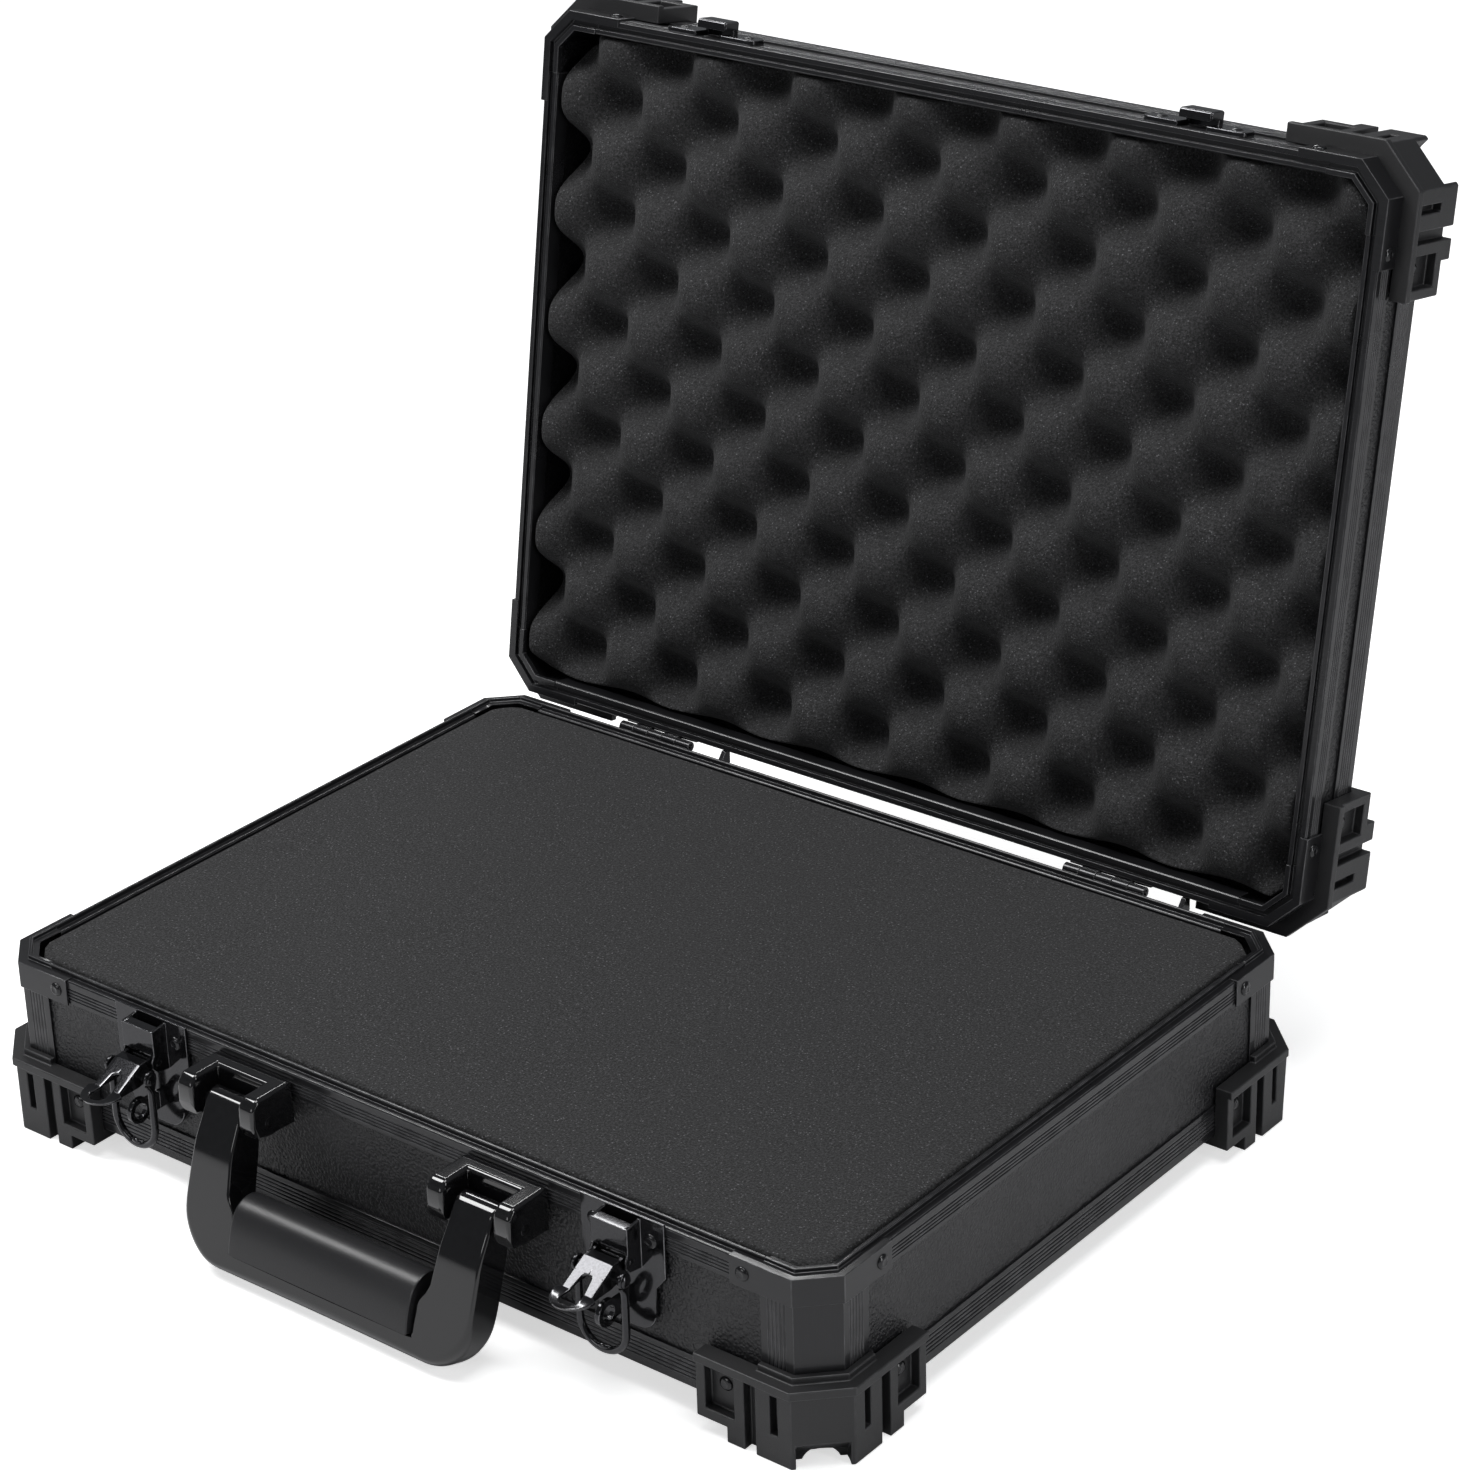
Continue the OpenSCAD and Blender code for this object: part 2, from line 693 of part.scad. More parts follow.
hinge_pins();
handle_bracket(-1);  // handle_bracket_left
handle_bracket(1);  // handle_bracket_right
handle_pins();
handle_frame();
handle_grip();
latch_plate(-1);  // latch_plate_left
latch_plate(1);  // latch_plate_right
latch_pivot_pins();
latch_lever(-1);  // latch_lever_left
latch_lever(1);  // latch_lever_right
latch_rod(-1);  // latch_rod_left
latch_rod(1);  // latch_rod_right
latch_bail(-1);  // latch_bail_left
latch_bail(1);  // latch_bail_right
latch_striker(-1);  // latch_striker_left
latch_striker(1);  // latch_striker_right
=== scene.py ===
"""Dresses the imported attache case: moulded, anodised, leather-grained and foam surfaces."""

from __future__ import annotations

import json
import logging
import math
from dataclasses import dataclass, field, replace
from enum import Enum
from typing import Iterable, Sequence

import bmesh
import bpy
from mathutils import Matrix, Vector, noise

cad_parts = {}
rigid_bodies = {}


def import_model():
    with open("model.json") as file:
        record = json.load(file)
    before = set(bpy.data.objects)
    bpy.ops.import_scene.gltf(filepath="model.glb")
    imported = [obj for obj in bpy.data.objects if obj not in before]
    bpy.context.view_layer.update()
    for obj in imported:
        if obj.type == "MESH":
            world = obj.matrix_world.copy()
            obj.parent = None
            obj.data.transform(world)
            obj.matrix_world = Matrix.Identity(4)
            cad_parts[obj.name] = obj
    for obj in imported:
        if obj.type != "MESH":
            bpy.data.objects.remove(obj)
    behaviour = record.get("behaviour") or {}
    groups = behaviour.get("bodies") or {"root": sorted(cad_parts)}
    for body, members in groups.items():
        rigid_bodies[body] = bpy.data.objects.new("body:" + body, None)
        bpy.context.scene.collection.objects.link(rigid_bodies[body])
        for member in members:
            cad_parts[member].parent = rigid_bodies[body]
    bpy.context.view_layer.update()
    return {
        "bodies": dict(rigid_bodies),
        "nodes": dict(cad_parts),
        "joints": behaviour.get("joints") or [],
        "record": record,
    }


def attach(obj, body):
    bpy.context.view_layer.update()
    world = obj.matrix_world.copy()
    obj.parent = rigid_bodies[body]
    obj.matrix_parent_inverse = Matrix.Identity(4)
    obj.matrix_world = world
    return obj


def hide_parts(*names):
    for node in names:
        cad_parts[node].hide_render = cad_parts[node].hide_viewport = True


LOG = logging.getLogger("attache_case")
MM = 0.001
# Rounded edges are marked for a lighter colour: partly scuffing, partly a painted highlight.
SCUFFED_AND_HIGHLIT_EDGE = "worn_edge"
WELD = 2e-6
FLAT_ANGLE = math.radians(0.8)
LINE_STRETCH = 0.012
Pair = tuple[float, float]
Triple = tuple[float, float, float]


class Side(Enum):
    """The two sides of the case, as seen from the front."""

    LEFT = -1
    RIGHT = 1

    @property
    def word(self) -> str:
        """The side's name in lower case."""
        return self.name.lower()


class Texture(Enum):
    """The kinds of surface structure a finish can carry."""

    LEATHER = "leather"
    DRAWN = "drawn"
    MOULDED = "moulded"
    FOAM = "foam"
    POLISHED = "polished"


# ---------- finishes ----------


@dataclass(frozen=True)
class Finish:
    """One surface finish of the case.

    Args:
        name: material name.
        slot: the record's material slot; not used.
        colour: linear base colour.
        worn: linear colour of scuffed edges, also standing in as a painted highlight.
        roughness: mean roughness.
        spread: how far handling marks move the roughness.
        metallic: share of metal.
        texture: kind of surface structure.
        grain: size of the structure's features, in mm.
        relief: height of the structure, in mm.
        wear: how much of the edges is scuffed and painted with a highlight.
        coat: weight of the clear coat.
        coat_roughness: roughness of the clear coat.
        sheen: weight of the soft edge sheen.
        draw: axes across the drawn lines.
    """

    name: str
    slot: str
    colour: Triple
    worn: Triple
    roughness: float
    spread: float
    metallic: float
    texture: Texture
    grain: float
    relief: float
    wear: float = 0.5
    coat: float = 0.0
    coat_roughness: float = 0.08
    sheen: float = 0.0
    draw: Triple = (0.0, 0.0, 1.0)


LEATHER_SHEET = Finish("leather_grain_sheet", "panel_abs", (0.017, 0.017, 0.0185),
                       (0.03, 0.03, 0.033), 0.37, 0.09, 0.0, Texture.LEATHER, 1.5, 0.30, 0.3)
BASE_RAIL = Finish("black_anodised_base", "frame_anodised", (0.013, 0.013, 0.0145),
                   (0.11, 0.11, 0.115), 0.29, 0.035, 0.35, Texture.DRAWN, 0.14, 0.005, 0.8,
                   coat=0.3)
LID_RAIL = replace(BASE_RAIL, name="black_anodised_lid", draw=(0.0, 1.0, 0.0))
BASE_POST = replace(BASE_RAIL, name="black_anodised_base_post", draw=(1.0, 1.0, 0.0))
LID_POST = replace(BASE_RAIL, name="black_anodised_lid_post", draw=(1.0, 0.0, 1.0))
MOULDED_BUMPER = Finish("moulded_bumper", "bumper_plastic", (0.017, 0.017, 0.018),
                        (0.05, 0.05, 0.053), 0.42, 0.08, 0.0, Texture.MOULDED, 0.45, 0.05, 0.8)
LINING_FOAM = Finish("lining_foam", "foam", (0.0150, 0.0150, 0.0158), (0.02, 0.02, 0.021),
                     0.94, 0.03, 0.0, Texture.FOAM, 0.95, 0.40, 0.0, sheen=0.03)
RIVET_BLACK = Finish("rivet_black", "rivet_black", (0.014, 0.014, 0.0155), (0.12, 0.12, 0.125),
                     0.22, 0.07, 0.5, Texture.POLISHED, 0.5, 0.01, 0.6, coat=0.4)
GLOSS_BLACK = Finish("gloss_black_plastic", "gloss_black_plastic", (0.0042, 0.0042, 0.0047),
                     (0.012, 0.012, 0.013), 0.09, 0.03, 0.0, Texture.POLISHED, 2.2, 0.002, 0.4,
                     coat=0.5, coat_roughness=0.03)
GRIP_SATIN = Finish("grip_satin", "grip_satin_plastic", (0.015, 0.015, 0.0162),
                    (0.03, 0.03, 0.032), 0.34, 0.06, 0.0, Texture.MOULDED, 0.5, 0.05, 0.3)
PIN_STEEL = Finish("dark_pin_steel", "pin_steel", (0.035, 0.035, 0.037), (0.2, 0.2, 0.21),
                   0.24, 0.07, 0.9, Texture.POLISHED, 0.4, 0.006, 0.5)
LATCH_BLACK = Finish("black_plated_latch", "latch_black_metal", (0.030, 0.030, 0.033),
                     (0.22, 0.22, 0.23), 0.13, 0.05, 0.85, Texture.POLISHED, 0.9, 0.004, 0.8,
                     coat=0.5, coat_roughness=0.06)
HINGE_BLACK = Finish("black_hinge_steel", "hinge_black_metal", (0.018, 0.018, 0.020),
                     (0.16, 0.16, 0.165), 0.24, 0.07, 0.6, Texture.POLISHED, 0.5, 0.008, 0.8,
                     coat=0.3)


class NodeBench:
    """A node tree with short calls to add and join nodes."""

    def __init__(self, tree: bpy.types.NodeTree) -> None:
        """Starts with an empty tree."""
        self.tree = tree
        tree.nodes.clear()

    def add(self, kind: str, inputs: dict[str | int, object] | None = None,
            **settings: object) -> bpy.types.Node:
        """Adds a node.

        Args:
            kind: the node's type name after "ShaderNode", or a full type name.
            inputs: socket values, or sockets to link from.
            settings: attributes of the node.

        Returns:
            The new node.
        """
        full = kind if kind.startswith("Node") else "ShaderNode" + kind
        made = self.tree.nodes.new(full)
        for key, value in settings.items():
            setattr(made, key, value)
        for key, value in (inputs or {}).items():
            if isinstance(value, bpy.types.NodeSocket):
                self.tree.links.new(value, made.inputs[key])
            else:
                made.inputs[key].default_value = value
        return made

    def math(self, operation: str, a: object, b: object = 0.0, clamp: bool = False
             ) -> bpy.types.NodeSocket:
        """Adds a Math node and returns its output."""
        made = self.add("Math", {0: a, 1: b}, operation=operation, use_clamp=clamp)
        return made.outputs[0]

    def ramp(self, value: object, low: float, high: float, to_low: float = 0.0,
             to_high: float = 1.0) -> bpy.types.NodeSocket:
        """Maps a range of values smoothly onto another and returns the output."""
        made = self.add("MapRange", {"Value": value, "From Min": low, "From Max": high,
                                     "To Min": to_low, "To Max": to_high},
                        interpolation_type="SMOOTHSTEP")
        return made.outputs["Result"]


class EffectShelf:
    """Shader node groups that several finishes share, each built once."""

    def __init__(self) -> None:
        """Starts with nothing built."""
        self.made: dict[str, bpy.types.NodeTree] = {}

    def _group(self, name: str, inputs: Sequence[tuple[str, str, object]],
               outputs: Sequence[str]) -> tuple[NodeBench, bpy.types.Node, bpy.types.Node]:
        """Makes an empty group with its sockets.

        Args:
            name: group name.
            inputs: (socket name, socket kind, default) for each input.
            outputs: names of the float outputs.

        Returns:
            The bench, the group's input node and its output node.
        """
        tree = bpy.data.node_groups.new(name, "ShaderNodeTree")
        for title, kind, default in inputs:
            made = tree.interface.new_socket(title, in_out="INPUT", socket_type=kind)
            if default is not None:
                made.default_value = default
        for title in outputs:
            tree.interface.new_socket(title, in_out="OUTPUT", socket_type="NodeSocketFloat")
        bench = NodeBench(tree)
        self.made[name] = tree
        return bench, bench.add("NodeGroupInput"), bench.add("NodeGroupOutput")

    def edge_wear(self) -> bpy.types.NodeTree:
        """Mask of scuffed edges that also carry a painted highlight, broken up by noise."""
        if "Edge wear" not in self.made:
            bench, given, out = self._group(
                "Edge wear", [("Coordinates", "NodeSocketVector", None),
                              ("Amount", "NodeSocketFloat", 0.5)], ["Mask"])
            edge = bench.add("Attribute", attribute_name=SCUFFED_AND_HIGHLIT_EDGE).outputs["Fac"]
            broken = bench.add("TexNoise", {"Vector": given.outputs["Coordinates"],
                                            "Scale": 120.0, "Detail": 5.0, "Roughness": 0.65})
            patch = bench.ramp(broken.outputs["Fac"], 0.30, 0.70, 0.12, 1.0)
            mask = bench.math("MULTIPLY", bench.math("MULTIPLY", edge, patch),
                              given.outputs["Amount"], clamp=True)
            bench.tree.links.new(mask, out.inputs["Mask"])
        return self.made["Edge wear"]

    def handling(self) -> bpy.types.NodeTree:
        """Soft marks of handling: broad patches and fine specks."""
        if "Handling marks" not in self.made:
            bench, given, out = self._group(
                "Handling marks", [("Coordinates", "NodeSocketVector", None),
                                   ("Spread", "NodeSocketFloat", 0.1)], ["Shift", "Dust"])
            broad = bench.add("TexNoise", {"Vector": given.outputs["Coordinates"],
                                           "Scale": 22.0, "Detail": 5.0, "Roughness": 0.55})
            fine = bench.add("TexNoise", {"Vector": given.outputs["Coordinates"],
                                          "Scale": 900.0, "Detail": 3.0, "Roughness": 0.6})
            both = bench.math("ADD", bench.math("MULTIPLY", broad.outputs["Fac"], 0.7),
                              bench.math("MULTIPLY", fine.outputs["Fac"], 0.3))
            centred = bench.math("SUBTRACT", both, 0.5)
            shift = bench.math("MULTIPLY", centred, bench.math(
                "MULTIPLY", given.outputs["Spread"], 4.0))
            bench.tree.links.new(shift, out.inputs["Shift"])
            bench.tree.links.new(bench.ramp(fine.outputs["Fac"], 0.70, 0.80),
                                 out.inputs["Dust"])
        return self.made["Handling marks"]

    def structure(self, kind: Texture) -> bpy.types.NodeTree:
        """The relief of one kind of surface.

        Args:
            kind: which surface structure.

        Returns:
            A group with Height and Tone outputs, for features one unit in size.
        """
        name = "Structure " + kind.value
        if name in self.made:
            return self.made[name]
        bench, given, out = self._group(
            name, [("Coordinates", "NodeSocketVector", None)], ["Height", "Tone"])
        at = given.outputs["Coordinates"]
        if kind is Texture.LEATHER:
            warp = bench.add("TexNoise", {"Vector": at, "Scale": 0.9, "Detail": 2.0})
            bent = bench.add("VectorMath", {0: at, 1: warp.outputs["Color"]}, operation="ADD")
            cell = bench.add("TexVoronoi", {"Vector": bent.outputs[0], "Scale": 1.0,
                                            "Smoothness": 0.35}, feature="SMOOTH_F1")
            fine = bench.add("TexNoise", {"Vector": at, "Scale": 3.4, "Detail": 3.0})
            dome = bench.ramp(cell.outputs["Distance"], 0.75, 0.1)
            height = bench.math("ADD", dome, bench.math("MULTIPLY", fine.outputs["Fac"], 0.35))
            tone = dome
        elif kind is Texture.DRAWN:
            lines = bench.add("TexNoise", {"Vector": at, "Scale": 1.0, "Detail": 3.0,
                                           "Roughness": 0.65})
            height = lines.outputs["Fac"]
            tone = bench.ramp(height, 0.3, 0.7)
        elif kind is Texture.MOULDED:
            spark = bench.add("TexNoise", {"Vector": at, "Scale": 1.0, "Detail": 4.0,
                                           "Roughness": 0.7})
            cell = bench.add("TexVoronoi", {"Vector": at, "Scale": 0.8})
            height = bench.math("ADD", spark.outputs["Fac"], bench.math(
                "MULTIPLY", cell.outputs["Distance"], 0.35))
            tone = bench.ramp(spark.outputs["Fac"], 0.35, 0.7)
        elif kind is Texture.FOAM:
            cell = bench.add("TexVoronoi", {"Vector": at, "Scale": 1.0}, feature="F1")
            small = bench.add("TexVoronoi", {"Vector": at, "Scale": 0.62}, feature="F1")
            speck = bench.add("TexNoise", {"Vector": at, "Scale": 0.9, "Detail": 5.0,
                                           "Roughness": 0.8})
            height = bench.math("ADD", bench.math("MULTIPLY", cell.outputs["Distance"], 0.8),
                                bench.math("MULTIPLY", speck.outputs["Fac"], 0.6))
            # Painted glints and soft specks: bright spots lightening the foam's colour, partly
            # grain and partly painted sparkle.
            painted_glint = bench.ramp(small.outputs["Distance"], 0.30, 0.10)
            soft = bench.ramp(speck.outputs["Fac"], 0.40, 0.64, 0.0, 0.24)
            tone = bench.math("ADD", bench.math("MULTIPLY", painted_glint, bench.ramp(
                speck.outputs["Fac"], 0.46, 0.60)), soft, clamp=True)
        else:
            ripple = bench.add("TexNoise", {"Vector": at, "Scale": 1.0, "Detail": 2.0})
            height = ripple.outputs["Fac"]
            tone = bench.ramp(height, 0.3, 0.7)
        bench.tree.links.new(height, out.inputs["Height"])
        bench.tree.links.new(tone, out.inputs["Tone"])
        return self.made[name]


class Paintbox:
    """Turns finishes into materials, each one once."""

    def __init__(self) -> None:
        """Starts with no materials."""
        self.effects = EffectShelf()
        self.made: dict[str, bpy.types.Material] = {}

    def material(self, finish: Finish) -> bpy.types.Material:
        """The material of a finish.

        Args:
            finish: the finish wanted.

        Returns:
            Its material, built on the first call.
        """
        if finish.name in self.made:
            return self.made[finish.name]
        made = bpy.data.materials.new(finish.name)
        made.use_nodes = True
        bench = NodeBench(made.node_tree)
        at = bench.add("TexCoord").outputs["Object"]
        along = self._stretch(finish)
        placed = bench.add("Mapping", {"Vector": at, "Scale": along}).outputs["Vector"]
        structure = self._place(bench, self.effects.structure(finish.texture),
                                {"Coordinates": placed})
        marks = self._place(bench, self.effects.handling(),
                            {"Coordinates": at, "Spread": finish.spread})
        wear = self._place(bench, self.effects.edge_wear(),
                           {"Coordinates": at, "Amount": finish.wear})
        tone = structure.outputs["Tone"]
        if finish.texture is Texture.FOAM:
            # Foam colour runs from dark to bright: partly speckled grain, partly painted glints.
            colour = bench.add("Mix", {"Factor": tone, "A": (*self._dim(finish.colour, 0.35), 1),
                                       "B": (*self._dim(finish.colour, 9.0), 1)},
                               data_type="RGBA").outputs["Result"]
        else:
            ground = bench.add("Mix", {"Factor": tone, "A": (*self._dim(finish.colour, 0.8), 1),
                                       "B": (*self._dim(finish.colour, 1.2), 1)},
                               data_type="RGBA").outputs["Result"]
            # Edge colour: lighter on rounded edges, partly scuffing and partly a painted
            # highlight.
            colour = bench.add("Mix", {"Factor": wear.outputs["Mask"], "A": ground,
                                       "B": (*finish.worn, 1)},
                               data_type="RGBA").outputs["Result"]
        rough = bench.math("ADD", marks.outputs["Shift"], finish.roughness, clamp=True)
        rough = bench.math("ADD", rough, bench.math("MULTIPLY", marks.outputs["Dust"], 0.08))
        bump = bench.add("Bump", {"Strength": 1.0, "Distance": finish.relief * MM,
                                  "Height": structure.outputs["Height"]})
        shader = bench.add("BsdfPrincipled", {
            "Base Color": colour, "Roughness": rough, "Metallic": finish.metallic,
            "Normal": bump.outputs["Normal"], "Coat Weight": finish.coat,
            "Coat Roughness": finish.coat_roughness, "Sheen Weight": finish.sheen})
        out = bench.add("OutputMaterial", {"Surface": shader.outputs["BSDF"]})
        out.is_active_output = True
        self.made[finish.name] = made
        return made

    @staticmethod
    def _dim(colour: Triple, share: float) -> Triple:
        """A colour scaled in brightness."""
        return (colour[0] * share, colour[1] * share, colour[2] * share)

    @staticmethod
    def _stretch(finish: Finish) -> Triple:
        """Texture scale per axis: features are one grain in size, or lines along a rail."""
        whole = 1.0 / (finish.grain * MM)
        if finish.texture is not Texture.DRAWN:
            return (whole, whole, whole)
        return tuple(whole if part > 0.5 else whole * LINE_STRETCH for part in finish.draw)

    @staticmethod
    def _place(bench: NodeBench, group: bpy.types.NodeTree,
               inputs: dict[str, object]) -> bpy.types.Node:
        """Puts a node group in a material and sets its inputs."""
        placed = bench.add("Group", node_tree=group)
        for key, value in inputs.items():
            if isinstance(value, bpy.types.NodeSocket):
                bench.tree.links.new(value, placed.inputs[key])
            else:
                placed.inputs[key].default_value = value
        return placed


# ---------- mesh tools ----------


def spin_profile(bm: bmesh.types.BMesh, profile: Sequence[Pair], matrix: Matrix,
                 steps: int = 32) -> None:
    """Adds a turned solid to a mesh.

    Args:
        bm: mesh to add to.
        profile: (radius, height) points; a zero radius closes an end.
        matrix: places the solid, whose axis is Z.
        steps: facets round the axis.
    """
    rings: list[list[bmesh.types.BMVert]] = []
    for radius, height in profile:
        count = 1 if radius == 0 else steps
        rings.append([bm.verts.new(matrix @ Vector((
            radius * math.cos(math.tau * i / steps), radius * math.sin(math.tau * i / steps),
            height))) for i in range(count)])
    for low, high in zip(rings, rings[1:]):
        for i in range(steps):
            a, b = low[i % len(low)], low[(i + 1) % len(low)]
            c, d = high[(i + 1) % len(high)], high[i % len(high)]
            corners = [v for n, v in enumerate((a, b, c, d)) if v not in (a, b, c, d)[:n]]
            if len(corners) > 2:
                bm.faces.new(corners)


def both_ends(half: Sequence[Pair]) -> list[Pair]:
    """Mirrors the profile of one end of a pin, from its axis outwards, to its other end."""
    return [(r, -z) for r, z in half] + [(r, z) for r, z in half[::-1]]


def join_rings(bm: bmesh.types.BMesh, rings: Sequence[Sequence[bmesh.types.BMVert]]
               ) -> list[list[bmesh.types.BMFace]]:
    """Skins a row of equal rings and closes both ends.

    Args:
        bm: mesh to add to.
        rings: the rings' corners, each in the same order.

    Returns:
        The side faces between each pair of rings.
    """
    count = len(rings[0])
    bands = [[bm.faces.new((low[k], low[(k + 1) % count], high[(k + 1) % count], high[k]))
              for k in range(count)] for low, high in zip(rings, rings[1:])]
    bm.faces.new(rings[0][::-1])
    bm.faces.new(rings[-1])
    return bands


def sweep_wire(bm: bmesh.types.BMesh, path: Sequence[Vector], radii: Sequence[Pair],
               matrix: Matrix, wide: Vector, steps: int = 16) -> None:
    """Adds a bent wire whose section may flatten along its length.

    Args:
        bm: mesh to add to.
        path: centre points.
        radii: half width along wide and across it, at each point.
        matrix: places the wire.
        wide: direction of the section's first radius.
        steps: facets round the wire.
    """
    rings = []
    for i, point in enumerate(path):
        ahead = (path[min(i + 1, len(path) - 1)] - path[max(i - 1, 0)]).normalized()
        first = (wide - ahead * wide.dot(ahead)).normalized()
        second = ahead.cross(first)
        a, b = radii[i]
        rings.append([bm.verts.new(matrix @ (
            point + first * a * math.cos(math.tau * k / steps)
            + second * b * math.sin(math.tau * k / steps))) for k in range(steps)])
    join_rings(bm, rings)


def extrude_outline(bm: bmesh.types.BMesh, outline: Sequence[Pair], depth: Pair,
                    matrix: Matrix) -> None:
    """Adds a straight prism.

    Args:
        bm: mesh to add to.
        outline: section in X and Y.
        depth: low and high Z.
        matrix: places the prism.
    """
    low = [bm.verts.new(matrix @ Vector((x, y, depth[0]))) for x, y in outline]
    high = [bm.verts.new(matrix @ Vector((x, y, depth[1]))) for x, y in outline]
    bm.faces.new(low[::-1])
    bm.faces.new(high)
    for i in range(len(outline)):
        n = (i + 1) % len(outline)
        bm.faces.new((low[i], low[n], high[n], high[i]))


def room_beside(edge: bmesh.types.BMEdge) -> float:
    """Least distance from an edge to the other corners of its two faces.

    Args:
        edge: the edge to measure from.

    Returns:
        The distance, leaving out corners that carry the edge on round a curve.
    """
    start, end = (v.co for v in edge.verts)
    along = end - start
    onward = {far for near in edge.verts for link in near.link_edges
              if link is not edge for far in [link.other_vert(near)]
              if (far.co - near.co).normalized().dot(
                  (near.co - edge.other_vert(near).co).normalized()) > 0.7}
    room = math.inf
    for face in edge.link_faces:
        for vert in face.verts:
            if vert not in edge.verts and vert not in onward:
                share = min(max((vert.co - start).dot(along) / along.length_squared, 0), 1)
                room = min(room, (vert.co - start - along * share).length)
    return room


def round_edges(bm: bmesh.types.BMesh, width: float, segments: int = 2,
                sharper: float = 28.0) -> None:
    """Rounds sharp edges where room allows, and marks them for scuffing and painted highlight.

    Args:
        bm: mesh to change.
        width: bevel width, in the mesh's units; narrow places get a half or a quarter.
        segments: facets across each rounding.
        sharper: smallest angle that is rounded, in degrees.
    """
    layers = bm.faces.layers.float
    mark = layers.get(SCUFFED_AND_HIGHLIT_EDGE) or layers.new(SCUFFED_AND_HIGHLIT_EDGE)
    limit = math.radians(sharper)
    for share in (1.0, 0.5, 0.25):
        size = width * share
        edges = [e for e in bm.edges if len(e.link_faces) == 2 and e.calc_length() > size
                 and not any(f[mark] for f in e.link_faces)
                 and e.calc_face_angle(0.0) > limit and room_beside(e) > 2.15 * size]
        if edges:
            made = bmesh.ops.bevel(bm, geom=edges, offset=size, offset_type="OFFSET",
                                   segments=segments, profile=0.5, affect="EDGES",
                                   clamp_overlap=False, loop_slide=True)
            for face in made["faces"]:
                face[mark] = 1.0


@dataclass
class Layout:
    """Where the two halves stand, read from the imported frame.

    Lengths are in mm, measured from the base's parting plane and the middle of the case.
    """

    hinge: Vector
    open_angle: float
    pin: Pair = (172.8, -0.8)
    latch_x: float = 132.5
    lever_pin: Pair = (-177.5, -17.5)
    lever_droop: float = math.radians(29.0)
    rod_on_lever: Pair = (-8.5, 1.0)
    handle_pin: Pair = (-185.3, -16.8)
    handle_lean: float = math.radians(18.0)

    @property
    def base(self) -> Matrix:
        """From case mm to the row's metres."""
        start = self.hinge - Vector((0, self.pin[0], self.pin[1])) * MM
        return Matrix.Translation(start) @ Matrix.Scale(MM, 4)

    @property
    def lid(self) -> Matrix:
        """From the closed lid's mm to its place on the open lid."""
        there = Matrix.Translation((0, self.pin[0], self.pin[1]))
        return self.base @ there @ Matrix.Rotation(-self.open_angle, 4, "X") @ there.inverted()

    def lever(self, side: Side) -> Matrix:
        """A latch lever's own frame, at its pivot, with its length along -Y."""
        spot = (side.value * self.latch_x, *self.lever_pin)
        return self.base @ Matrix.Translation(spot) @ Matrix.Rotation(self.lever_droop, 4, "X")

    def rod(self, side: Side) -> Vector:
        """The middle of a latch's cross rod, in metres."""
        return self.lever(side) @ Vector((0, *self.rod_on_lever))

    def handle(self) -> Matrix:
        """The hanging handle's own frame, at its pivots."""
        spot = (0, *self.handle_pin)
        return self.base @ Matrix.Translation(spot) @ Matrix.Rotation(-self.handle_lean, 4, "X")


